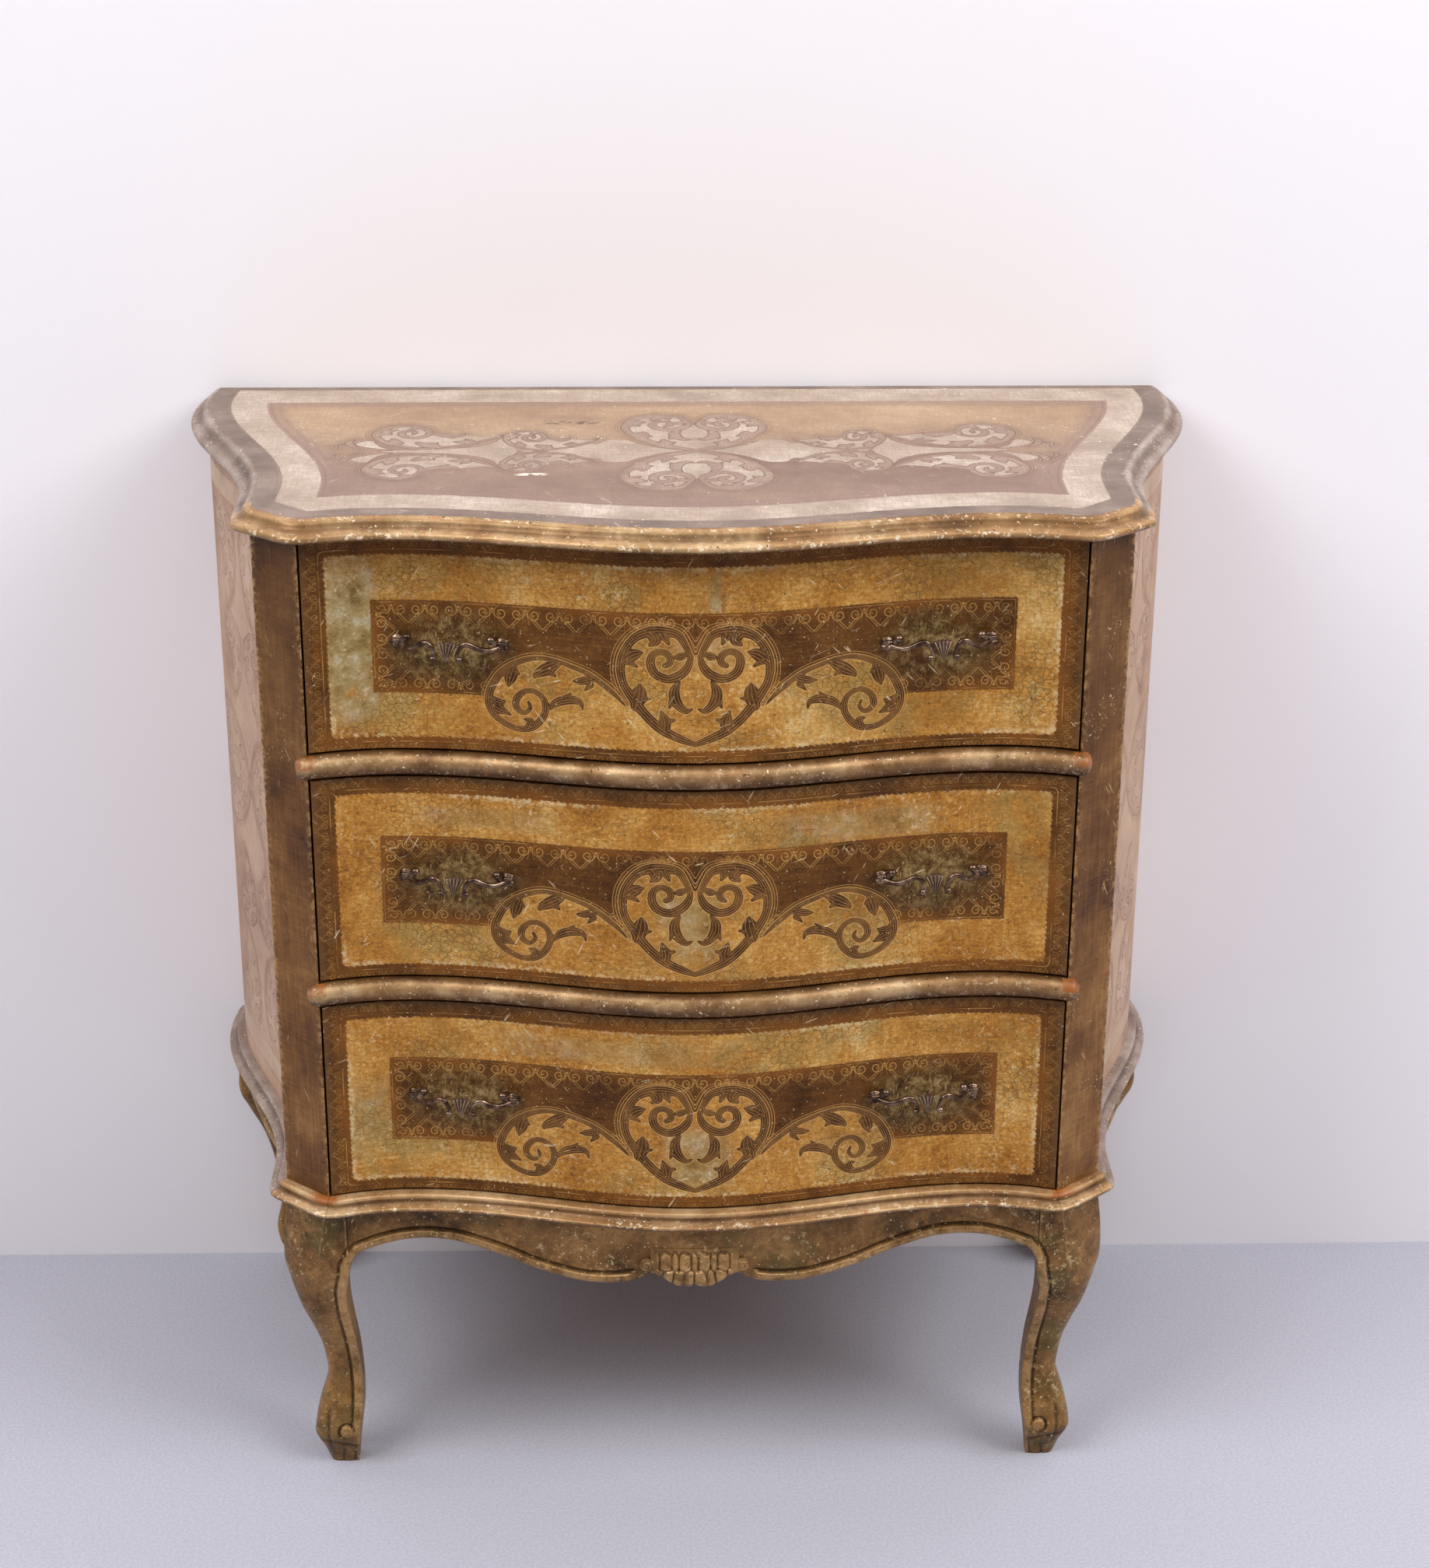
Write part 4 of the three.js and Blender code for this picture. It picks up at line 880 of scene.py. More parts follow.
bronze = dict(
    post=[(72, 42, 15), (106, 67, 29), (134, 91, 45), (164, 119, 67)],
    # high and low: the gilding in painted highlight and in painted shade; dullHigh and dullLow the same on
    # the dull paint
    high=[(156, 114, 70), (188, 147, 100), (218, 182, 136)],
    low=[(70, 44, 20), (98, 66, 34), (124, 88, 50)],
    dullHigh=[(138, 119, 108), (158, 139, 129), (178, 161, 152)],
    dullLow=[(92, 74, 64), (116, 96, 84), (134, 114, 102)],
    legs=[(71, 47, 19), (108, 75, 36), (141, 101, 54), (174, 131, 78)],
    fittings=[(66, 48, 38), (96, 74, 60), (126, 102, 84), (160, 134, 112)],
    fittingsPale=[(120, 94, 78), (152, 126, 106), (182, 158, 136)],
    uprightScratches=[(0, 0.2, 0), (0, -0.4, 0)],
)


def makeBronzePost():
    # bronze powder over brown: cloudy, with level brush marks, pale nicks along the edges, and painted shade
    # beside the drawers and under the top
    f = Finish("bronzePost", 0.42, 0.2, 0.3)
    side, rubbed, _ = f.attribute("arris")
    level = f.noise(1.0, 4, 0.65, f.scaled((40, 40, 700)))
    upright = f.noise(1.0, 4, 0.65, f.scaled((420, 420, 22)))
    cloud = f.noise(12, 6, 0.65) * 0.66 + (level * 0.14 + upright * 0.2)
    surface = f.ramp(cloud, 0.38, 0.62, bronze["post"])
    # painted shade: darker along the inner edge beside the drawers, and higher up under the top's overhang
    shaded = over(side * 0.4, f.axes()[2].step(0.5, 0.74) * 0.5)
    surface = f.mix(shaded, surface, tone(72, 44, 20))
    worn = rubbed * f.noise(220, 4, 0.7).step(0.46, 0.58)
    surface = f.mix(worn, surface, tone(196, 154, 98))
    surface = f.mix(f.scratches(bronze["uprightScratches"], 1.0, 0.67) * 0.6, surface, tone(206, 172, 122))
    nicks = f.flecks(430, 0.64) * f.patches(22, 0.56, 0.64)
    surface = f.mix(nicks, surface, tone(218, 192, 146))
    surface = f.mix(f.flecks(330, 0.7, 0.7), surface, tone(48, 30, 14))
    roughness = 0.34 + f.noise(90, 4) * 0.26
    return f.done(surface, roughness, None, f.bump(level + f.noise(500, 3), 0.0003, 0.4))


def makeMouldingGilt():
    # bronze gilding with painted highlights on the rounds and painted shade in the hollows and beneath;
    # the arrises are chipped to gesso and clay. The third value is bare wood above zero, and dull mauve
    # paint below it.
    f = Finish("mouldingGilt", 0.34, 0.35, 0.4)
    paleAndHighlit, chipped, wood = f.attribute("arris")
    dull = wood.step(-0.1, -0.9)
    # painted light: lighter gilding as highlight on the rounds, darker as shade in the hollows and beneath
    cloud = paleAndHighlit + (f.noise(36, 6, 0.7) - 0.5) * 0.8
    share = cloud.step(0.12, 0.88)
    surface = f.mix(share, f.mottled(bronze["low"], 24, 6), f.mottled(bronze["high"], 18, 6))
    surface = f.mix(f.patches(7, 0.46, 0.66, 4) * 0.3, surface, tone(134, 96, 56))
    plain = f.mix(share, f.mottled(bronze["dullLow"], 24, 6), f.mottled(bronze["dullHigh"], 18, 6))
    surface = f.mix(dull, surface, plain)
    loss = chipped * f.noise(210, 5, 0.72).step(0.55, 0.6) * (1 - dull * 0.7)
    lost = f.mix(f.noise(50, 3).step(0.36, 0.48), tone(186, 118, 80), tone(236, 220, 190))
    surface = f.mix(loss, surface, lost)
    bare = wood.step(0.1, 0.9) * f.noise(70, 4).step(0.34, 0.56)
    surface = f.mix(bare, surface, tone(158, 92, 40))
    surface = f.mix(f.flecks(380, 0.67) * 0.9, surface, tone(72, 48, 26))
    surface = f.mix(f.flecks(360, 0.68, 0.4), surface, tone(240, 222, 190))
    roughness = 0.28 + (f.noise(110, 4) * 0.22 + over(loss, dull) * 0.28)
    metal = (1 - over(loss, bare, dull * 0.9)) * 0.4
    relief = f.noise(300, 4) * 0.5 - loss
    return f.done(surface, roughness, metal, f.bump(relief, 0.0004, 0.6))


def makeLegGilt():
    # brown bronze with green patina patches; painted shade in the carved hollows, and gold rubbed through on
    # the rounds and edges with a painted highlight there
    f = Finish("legGilt", 0.4, 0.4, 0.4)
    relief, hollow, _ = f.attribute("arris")
    cloud = f.noise(16, 6, 0.66) * 0.72 + f.noise(170, 5, 0.75) * 0.28
    surface = f.ramp(cloud, 0.38, 0.62, bronze["legs"])
    surface = f.mix(f.patches(26, 0.5, 0.64, 6) * 0.45, surface, tone(92, 84, 42))
    surface = f.mix(f.patches(40, 0.55, 0.68, 5) * 0.5, surface, tone(176, 130, 72))
    # painted shade in the carved grooves
    surface = f.mix(hollow * 0.7, surface, tone(48, 33, 16))
    # gold rubbed through on the proud carving and the edges, also standing as painted highlight
    rubbed = relief * f.noise(90, 5, 0.75).step(0.34, 0.6)
    surface = f.mix(rubbed * 0.56, surface, tone(198, 156, 104))
    scuff = f.noise(210, 5, 0.78).step(0.55, 0.62) * f.patches(24, 0.46, 0.6)
    surface = f.mix(scuff * 0.8, surface, tone(210, 182, 132))
    surface = f.mix(f.flecks(430, 0.675), surface, tone(222, 202, 156))
    surface = f.mix(f.flecks(300, 0.69, 0.9) * 0.8, surface, tone(46, 32, 16))
    roughness = 0.24 + f.noise(130, 4) * 0.3
    return f.done(surface, roughness, None, f.bump(f.noise(200, 5, 0.7), 0.0006, 0.6))


def makeDarkBronze():
    # dark metal that shows mostly what it mirrors; the shell is rubbed paler, with painted highlights on its
    # flute crests
    f = Finish("darkBronze", 0.28, 0.85)
    paleAndHighlit, _, _ = f.attribute("arris")
    surface = f.mix(paleAndHighlit, f.mottled(bronze["fittings"], 110, 6),
                    f.mottled(bronze["fittingsPale"], 130, 5))
    roughness = 0.16 + f.noise(240, 4) * 0.2
    metal = 0.85 - paleAndHighlit * 0.6
    return f.done(surface, roughness, metal, f.bump(f.noise(900, 4, 0.7), 0.0002, 0.4))


def makeBareWood():
    # sawn softwood, grain along the longest way of most boards
    f = Finish("bareWood", 0.62)
    grain = f.noise(1.0, 6, 0.6, f.scaled((6, 60, 60)), 0.6)
    rings = f.math("FRACT", grain * 9.0)
    surface = f.mix(rings.step(0.1, 0.9), tone(168, 132, 88), tone(192, 158, 112))
    fibre = f.noise(1.0, 3, 0.6, f.scaled((20, 900, 900)))
    surface = f.mix(fibre.step(0.5, 0.7) * 0.35, surface, tone(138, 102, 64))
    surface = f.mix(f.patches(5, 0.5, 0.7, 4) * 0.3, surface, tone(140, 108, 72))
    return f.done(surface, 0.55 + fibre * 0.15, None, f.bump(fibre, 0.0003, 0.4))


bareWood, gildedDrawer, mouldingGilt = makeBareWood(), makeGildedDrawer(), makeMouldingGilt()
bronzePost, paintedTop, paintedSide = makeBronzePost(), makePaintedTop(), makePaintedSide()
legGilt, darkBronze = makeLegGilt(), makeDarkBronze()
print("finishes made")


# Top board: closed outlines carried down the moulded edge. The flat is spanned by lines that run
# from the front and sides to a spine and on to the back.
topEdge = dict(
    overFront=9.5, overCant=6.0, overSide=-2.0, nose=15.0, frontSteps=230, sideSteps=56, cantSteps=10,
    spineAt=170.0, spineHalf=250.0, spineEnd=12.0, spineTail=0.3, frontSpokes=96, backSpokes=54,
    ornamentAt=(3.0, 160.0), cantBand=(297.0, 33.0, 16.0, 17.0), dullRun=8.0,
    # columns of the back edge: share of the way round, and share of the outline's half width
    backShare=(0, 0.17, 0.83, 1), backReach=(0.998, 0.78, 0.78, 0.998),
    # drop, painted light from shade to highlight, chips
    gilding=[(0, 0.5, 0.4), (0.04, 0.9, 0.8), (0.1, 0.62, 0.2), (0.2, 0.5, 0), (0.34, 0.36, 0),
             (0.42, 0.42, 0), (0.5, 0.75, 0.4), (0.58, 1, 0.85), (0.7, 0.7, 0.9), (0.8, 0.35, 0.3),
             (0.9, 0.15, 0), (1, 0.1, 0)],
    # reach, drop
    profile=[(0, 0), (0.12, 0.015), (0.25, 0.06), (0.35, 0.12), (0.4, 0.2), (0.45, 0.3), (0.53, 0.39),
             (0.68, 0.45), (0.84, 0.5), (0.95, 0.58), (1, 0.7), (0.97, 0.8), (0.85, 0.88), (0.6, 0.92),
             (0.16, 1)],
)


def strip(number):
    # quads of an open grid of point numbers
    return np.stack([number[:-1, :-1].ravel(), number[:-1, 1:].ravel(),
                     number[1:, 1:].ravel(), number[1:, :-1].ravel()], 1)


def gildingField(table, drops, woodAt):
    # painted light from shade to highlight, and chips, by the drop of a profile, and bare wood or dull paint
    # as given
    rows = np.array(table)
    paintedLight, chips = (np.interp(drops, rows[:, 0], rows[:, k]) for k in (1, 2))
    return np.stack([paintedLight, chips, woodAt], axis=-1)


def spineLine(outline, kinds):
    # where each column of the flat turns: along a spine, and down a tail to it from the back corners
    turns, x, y = np.flatnonzero(np.diff(kinds)) + 1, outline[:, 0], outline[:, 1]
    index, a, b = np.arange(len(outline)), turns[1], turns[2]
    start = np.flatnonzero(y <= topEdge["spineAt"])[0]
    reach = topEdge["spineHalf"]
    inner = reach - topEdge["spineEnd"]
    across = x * inner / chest["frontHalf"]
    across = np.where(index < a, np.interp(index, [start, a], [-reach, -inner]), across)
    across = np.where(index > b, np.interp(index, [b, len(outline) - 1 - start], [inner, reach]), across)
    spine = np.column_stack([across, np.full(len(outline), topEdge["spineAt"])])
    tail = fade(y, topEdge["spineAt"], chest["depth"] - topEdge["spineAt"]) * topEdge["spineTail"]
    corner = np.column_stack([np.sign(x) * np.abs(x[0]), np.full(len(outline), chest["depth"])])
    return spine + tail[:, None] * (corner - spine)


def topFields(points, edgeColumns, drops):
    # distances in from the edges of the flat, the chain of leaves, and the gilding of the moulded edge
    x, y = points[:, 0], points[:, 1]
    side = sideCurve(y) + topEdge["overSide"] - np.abs(x)
    front = y - (frontCurve(np.minimum(np.abs(x), chest["frontHalf"])) - topEdge["overFront"])
    cx, cy, dx, dy = topEdge["cantBand"]
    cant = ((cx - np.abs(x)) * dx + (y - cy) * dy) / math.hypot(dx, dy)
    u, v = x - topEdge["ornamentAt"][0], y - topEdge["ornamentAt"][1]
    leaf, ground = chainField(u, v)
    arris = np.zeros((len(points), 3))
    edge = np.repeat(drops, edgeColumns)
    dull = fade(y[:len(edge)], chest["cantDepth"], topEdge["dullRun"])
    arris[:len(edge)] = gildingField(topEdge["gilding"], edge, -dull)
    inset, ground = np.column_stack([side, front, cant]), np.column_stack([ground, u, v])
    return dict(inset=inset, leaf=leaf, ground=ground, arris=arris)


def makeTop():
    # each row of the profile is the plan moved out by its reach, at the height of its drop
    outline, kinds = casePlan(topEdge["frontSteps"], topEdge["sideSteps"], topEdge["cantSteps"])
    profile = np.minimum(smoothLine(topEdge["profile"], 3), 1)
    share = np.linspace(0, 1, len(outline))
    rings = []
    for reach, drop in profile:
        out = reach * topEdge["nose"]
        edge = offsetPlan(outline, kinds, topEdge["overFront"] + out, topEdge["overCant"] + out,
                          topEdge["overSide"] + out)
        backX = np.interp(share, topEdge["backShare"], edge[[0, 0, -1, -1], 0] * topEdge["backReach"])
        back = np.column_stack([backX, np.full(len(edge), chest["depth"])])
        z = chest["height"] - drop * chest["topThickness"]
        rings.append(np.column_stack([np.vstack([edge, back[::-1]]), np.full(2 * len(edge), z)]))
    rings = np.array(rings)
    columns = rings.shape[1]
    half = columns // 2
    front, back = rings[0, :half], rings[0, :half - 1:-1]
    spine = np.column_stack([spineLine(rings[0, :half, :2], kinds), front[:, 2]])
    forward = np.linspace(0, 1, topEdge["frontSpokes"] + 1)[1:, None, None]
    backward = np.linspace(0, 1, topEdge["backSpokes"] + 1)[1:-1, None, None]
    field = np.concatenate([front + (spine - front) * forward, spine + (back - spine) * backward])
    points = rings.reshape(-1, 3)
    inner = len(points) + np.arange(len(field) * half).reshape(-1, half)
    number = np.concatenate([np.arange(half)[None], inner, np.arange(columns - 1, half - 1, -1)[None]])
    last = (len(rings) - 1) * columns
    under = np.stack([last + np.arange(half), last + np.arange(columns - 1, half - 1, -1)])
    points = np.vstack([points, field.reshape(-1, 3)])
    slits = [number[::-1, 0][None], number[:, -1][None]]   # slivers from the back corners to the spine
    faces = [ringQuads(len(rings), columns), strip(number)[:, ::-1], strip(under), *slits]
    fields = topFields(points, columns, profile[:, 1])
    addPiece("chest_top", [(points, faces)], "case", paintedTop, ["top_board"], fields,
             faceFinish=[1, 0, 1, 0, 0], others=[mouldingGilt])


makeTop()
print("top made")


# Posts: the canted corners, with softened edges
post = dict(depth=58.0, lip=6.0, panel=10.0, soften=1.6, longest=2.5, rubbedWide=2.2, shadedWide=9.0)


def subdivided(plan, longest):
    # extra points on the long stretches of a closed plan
    rows = []
    for a, b in zip(plan, np.roll(plan, -1, 0)):
        steps = max(1, math.ceil(np.linalg.norm(b - a) / longest))
        rows.append(a + (b - a) * np.arange(steps)[:, None] / steps)
    return np.vstack(rows)


def makePosts():
    # one plan with rounded corners between two heights; the fields fall off from its edges
    low, high = chest["floor"] + chest["fit"], chest["top"] - chest["fit"]
    rebate = chest["cantHalf"] - post["panel"] - chest["fit"]
    back = chest["cantDepth"] + post["lip"]
    edges = [(chest["frontHalf"], 0), (chest["cantHalf"], chest["cantDepth"])]
    plan = [*edges, (chest["cantHalf"], back), (rebate, back), (rebate, post["depth"]),
            (chest["frontHalf"], post["depth"])]
    plan = subdivided(roundedPlan(plan, post["soften"]), post["longest"])
    inner, outer = (np.hypot(*(plan - edge).T) for edge in edges)
    rubbed = np.exp(-np.minimum(inner, outer) / post["rubbedWide"])
    # painted shade for the bronze finish, falling off from the inner edge beside the drawers
    shaded = np.exp(-inner / post["shadedWide"]) * (1 - rubbed)
    fields = np.column_stack([shaded, rubbed, np.zeros(len(plan))])
    for side, word in ((-1, "left"), (1, "right")):
        addPiece(f"canted_post_{word}", [upright(plan * (side, 1), low, high)], "case", bronzePost,
                 [f"front_{word}_post"], dict(arris=[fields, fields]))


makePosts()


# Side panels: the side curve and a parallel inner face, in rows up the panel
sidePanel = dict(across=132, rows=220, size=0.93, behindStep=6)


def makeSidePanels():
    # the same plan at every row's height, with the chain turned upright along it
    low, high = chest["floor"] + chest["fit"], chest["top"] - chest["fit"]
    y = np.linspace(chest["cantDepth"] + post["lip"] + chest["fit"], chest["depth"], sidePanel["across"] + 1)
    face = np.column_stack([sideCurve(y), y])
    along = np.concatenate([[0], np.cumsum(np.linalg.norm(np.diff(face, axis=0), axis=1))])
    step = sidePanel["behindStep"]
    behind = np.column_stack([sideCurve(y) - post["panel"], y])[::-1][::step]
    plan, place = np.vstack([face, behind]), np.concatenate([along, along[::-1][::step]])
    z = np.linspace(low, high, sidePanel["rows"] + 1)
    placeGrid, heightGrid = np.meshgrid(place, z)
    size = sidePanel["size"]
    leaf, ground = chainField((heightGrid - z.mean()) / size, (placeGrid - along[-1] / 2) / size)
    toSides = np.minimum(placeGrid, along[-1] - placeGrid)
    toEnds = np.minimum(heightGrid - low, high - heightGrid)
    beside = np.where(toSides < toEnds, heightGrid, placeGrid)
    ground = np.stack([ground * size, np.minimum(toSides, toEnds), beside], 2)
    fields = dict(leaf=(leaf * (size, 1, size)).reshape(-1, 3), ground=ground.reshape(-1, 3))
    for side, word in ((-1, "left"), (1, "right")):
        rings = np.array([np.column_stack([plan * (side, 1), np.full(len(plan), level)]) for level in z])
        addPiece(f"painted_side_{word}", [shell(rings)], "case", paintedSide, [f"{word}_side_panel"], fields)


makeSidePanels()


# Divider rails: a half-round nose along the front, dying away on the canted corners, and its board
rail = dict(
    proud=8.0, lap=9.5, quirk=0.4, stations=220, noseSteps=14, boardSteps=120, depth=58.0,
    endSteps=8, endTurn=1.4, tip=0.05, thinnest=0.002, postLap=2.0, woodFrom=272.0, woodRun=6.0,
    woodDrop=0.45,
    # drop, painted light from shade to highlight, chips
    gilding=[(0, 0.24, 0), (0.12, 0.52, 0.2), (0.26, 0.76, 0.3), (0.4, 0.56, 0.1), (0.6, 0.34, 0.1),
             (0.8, 0.12, 0.5), (1, 0.04, 0)],
)


def makeRail(name, node, low):
    # a half circle across the rail, squeezed towards its ends by their fullness
    end = chest["frontHalf"] + rail["lap"]
    closer = rail["lap"] * (1 - np.cos(np.linspace(0, rail["endTurn"], rail["endSteps"])))
    even = np.linspace(-end + rail["tip"], end - rail["tip"], rail["stations"])
    x = np.sort(np.concatenate([even, end - closer, closer - end]))
    beyond = np.maximum(0, np.abs(x) - chest["frontHalf"]) / rail["lap"]
    fullness = np.sqrt(np.maximum(1 - beyond**2, rail["thinnest"]))
    onPost = np.abs(x) > chest["frontHalf"] - rail["postLap"]
    curve = frontCurve(x)
    seat = np.where(onPost, np.maximum(cantLine(x), 0) - chest["fit"], curve + rail["proud"])
    front = np.where(onPost, seat - (seat - curve + rail["proud"]) * fullness, curve - rail["proud"])
    root = np.minimum(front + rail["proud"] * fullness, seat - chest["fit"])
    turn = np.linspace(-np.pi / 2, np.pi / 2, rail["noseSteps"] + 1)
    middle, rise = low + chest["rail"] / 2, (chest["rail"] / 2 - rail["quirk"]) * fullness
    y = root[:, None] + (front - root)[:, None] * np.cos(turn)
    z = middle + rise[:, None] * np.sin(turn)
    nose = np.stack([np.repeat(x[:, None], len(turn), 1), y, z], axis=2)
    first = np.stack([x, seat, middle - rise], axis=1)[:, None]
    last = np.stack([x, seat, middle + rise], axis=1)[:, None]
    half = chest["frontHalf"] - chest["fit"]
    boardX = np.linspace(-half, half, rail["boardSteps"])
    boardFront = np.column_stack([boardX, frontCurve(boardX)])
    board = np.vstack([boardFront, [(half, rail["depth"]), (-half, rail["depth"])]])
    bodies = [shell(np.concatenate([first, nose, last], axis=1)), upright(board, low, low + chest["rail"])]
    drop = np.concatenate([[1], 0.5 - np.sin(turn) / 2, [0]])
    drops = np.repeat(drop[None], len(x), 0)
    bare = fade(np.abs(x), rail["woodFrom"], rail["woodRun"])
    wood = np.repeat(bare[:, None], len(drop), 1) * (drops < rail["woodDrop"])
    fields = [gildingField(rail["gilding"], drops, wood).reshape(-1, 3), np.zeros((2 * len(board), 3))]
    addPiece(name, bodies, "case", mouldingGilt, [node], dict(arris=fields))


makeRail("rail_above_drawer_3", "lower_divider_rail", openings[1] - chest["rail"])
makeRail("rail_above_drawer_2", "upper_divider_rail", openings[2] - chest["rail"])


# Moulded frame under the case: one profile carried round the plan in five mitred lengths
baseMoulding = dict(
    proud=14.0, inset=15.0, frontSteps=240, sideSteps=70, cantSteps=10,
    woodAt=(282.0, 14.0), woodDrop=0.3, woodDepth=40.0,
    # drop, painted light from shade to highlight, chips
    gilding=[(0, 0.75, 0.1), (0.1, 1, 0.2), (0.24, 0.8, 0.1), (0.36, 0.3, 0), (0.5, 0.2, 0), (0.6, 0.55, 0.3),
             (0.68, 1, 1), (0.78, 0.6, 0.7), (0.92, 0.2, 0.1), (1, 0.05, 0)],
    profile=[(0.3, 0), (0.45, 0.05), (0.53, 0.2), (0.5, 0.34), (0.54, 0.47), (0.68, 0.6),
             (0.84, 0.66), (0.95, 0.7), (1, 0.82), (0.95, 0.95), (0.86, 1)],
)


def makeBaseMoulding():
    # the profile's plans, cut into lengths where the kind of stretch changes
    outline, kinds = casePlan(*(baseMoulding[steps] for steps in ("frontSteps", "sideSteps", "cantSteps")))
    root = -baseMoulding["inset"] / baseMoulding["proud"]
    profile = np.vstack([(root, 0), smoothLine(baseMoulding["profile"], 3), (root, 1)])
    plans = []
    for reach, drop in profile:
        out = reach * baseMoulding["proud"]
        plan = offsetPlan(outline, kinds, out, out, out)
        z = chest["floor"] - drop * chest["baseMoulding"]
        plans.append(np.column_stack([plan, np.full(len(plan), z)]))
    rings = np.stack(plans, axis=1)
    bounds = np.concatenate([[0], np.flatnonzero(np.diff(kinds)) + 1, [len(outline) - 1]])
    names = ["left", "front_left", "front", "front_right", "right"]
    for name, start, end in zip(names, bounds[:-1], bounds[1:]):
        length = rings[start:end + 1].copy()
        for at, following, mitred in ((0, 1, start > 0), (-1, -2, end < len(outline) - 1)):
            if mitred:   # half a gap is left at each mitre
                along = length[following] - length[at]
                length[at] += along * (chest["fit"] / 2 / np.linalg.norm(along, axis=1))[:, None]
        drops = np.repeat(profile[None, :, 1], len(length), 0)
        at, wide = baseMoulding["woodAt"]
        wood = groove(np.abs(length[..., 0]) - at, wide) * (drops < baseMoulding["woodDrop"])
        wood = wood * (length[..., 1] < baseMoulding["woodDepth"])
        if name in ("left", "right"):
            wood = np.full(drops.shape, -1.0)
        arris = gildingField(baseMoulding["gilding"], drops, wood)
        addPiece(f"base_moulding_length_{name}", [shell(length)], "case", mouldingGilt,
                 [f"base_moulding_{name}"], dict(arris=arris.reshape(-1, 3)))


makeBaseMoulding()
print("case made")


# Drawer fronts: cross sections along the front curve, softened at every edge
drawerFront = dict(
    reveal=1.5, thickness=18.0, soften=0.8, rimSteps=5, rimTurn=1.5, across=480, up=140,
    # patches of patina of a drawer: place from the middle, height, half width, half height, strength
    patina={
        1: [(-246, 84, 18, 60, 1.0), (14, 129, 4, 14, 0.8), (10, 88, 26, 16, 0.4)],
        2: [(120, 128, 60, 12, 0.5), (-4, 52, 22, 26, 0.7), (-150, 131, 50, 8, 0.4)],
        3: [(-60, 132, 90, 10, 0.4), (2, 46, 24, 24, 0.7), (-246, 70, 14, 30, 0.4)],
    },
)


def softened(places, half, radius):
    # depth lost near an end, as a quarter circle
    beyond = np.maximum(0, np.abs(places) - (half - radius))
    return radius - np.sqrt(np.maximum(radius**2 - beyond**2, 0))


def softenedPlaces(half, radius, steps):
    # even places across a face, and closer ones on the softened rim at both ends
    rim = radius * (1 - np.cos(np.linspace(0, drawerFront["rimTurn"], drawerFront["rimSteps"])))
    return np.concatenate([-half + rim, np.linspace(-half + radius, half - radius, steps), half - rim[::-1]])


def drawerOrnament(x, height):
    # leaf values, distance to the gold grounds, and to the outer edge of the heart's band
    leaf = strokeField(x, height, [heartMotif, scrollMotif])
    heart = outlineDistance(x, height, heartOutline())
    ground = np.minimum(heart, outlineDistance(x, height, scrollOutline("open")))
    return leaf, ground, heart


def makeDrawerFront(number, low):
    # grid over the front curve, its rim moved back by a quarter circle
    half = chest["frontHalf"] - drawerFront["reveal"]
    high = chest["opening"] / 2 - drawerFront["reveal"]
    radius = drawerFront["soften"]
    x = softenedPlaces(half, radius, drawerFront["across"])
    z = softenedPlaces(high, radius, drawerFront["up"])
    lost = np.maximum(softened(x, half, radius)[:, None], softened(z, high, radius)[None])
    middle = low + chest["opening"] / 2
    across, up = np.repeat(x[:, None], len(z), 1), np.repeat(z[None] + middle, len(x), 0)
    face = np.stack([across, frontCurve(x)[:, None] + lost, up], axis=2)
    back = frontCurve(x) + drawerFront["thickness"]
    behind = [np.column_stack([x, back, np.full(len(x), middle + end)])[:, None] for end in (high, -high)]
    rings = np.concatenate([face, *behind], axis=1)
    flat = rings.reshape(-1, 3)
    height = flat[:, 2] - low
    patina = np.zeros(len(flat))
    for px, pz, wide, tall, strength in drawerFront["patina"][number]:
        reach = np.maximum(np.abs(flat[:, 0] - px) / wide, np.abs(height - pz) / tall)
        patina = np.maximum(patina, strength * np.exp(-reach**6))
    leaf, ground, band = drawerOrnament(-np.abs(flat[:, 0]), height)
    fields = dict(face=np.column_stack([flat[:, 0], height, patina]), leaf=leaf,
                  ground=np.column_stack([ground, band, np.zeros(len(flat))]))
    addPiece(f"gilded_front_{number}", [shell(rings)], drawerBodies[number], gildedDrawer,
             [f"drawer_{number}_front"], fields)


drawerBodies = {1: "upper_drawer", 2: "middle_drawer", 3: "lower_drawer"}
for number, low in zip((3, 2, 1), openings):
    makeDrawerFront(number, low)
print("drawer fronts made")


# Opening under the case, seen from the front: the apron's lower edge and then the leg's inner edge.
# Apron rows hold a share of its half length and a share of its deepest drop.
apron = dict(
    drop=56.0, thickness=20.0, stations=320, knee=48.0, beadHigh=7.5, beadProud=3.2, grooveWide=1.6,
    grooveDeep=1.1, carvedRows=30, carvedHigh=14.0, plainRows=10, plainHalf=0.165, plainRun=4.0,
    hollowRelief=0.8, proudRelief=2.2, edgeFrom=0.17, legEdge=(0.78, 0.13), edgeSteps=200,
    edge=[(0, 0.79), (0.06, 0.79), (0.125, 0.795), (0.16, 0.895), (0.185, 0.935), (0.245, 0.985), (0.32, 1),
          (0.39, 0.955), (0.435, 0.91), (0.48, 0.86), (0.53, 0.77), (0.615, 0.65), (0.685, 0.565),
          (0.745, 0.535), (0.785, 0.53), (0.84, 0.55), (0.9, 0.605), (0.95, 0.675), (0.98, 0.745), (1, 0.93)],
)
apron["half"] = chest["cantHalf"] - apron["knee"]
apron["top"] = chest["legTop"] - chest["fit"]

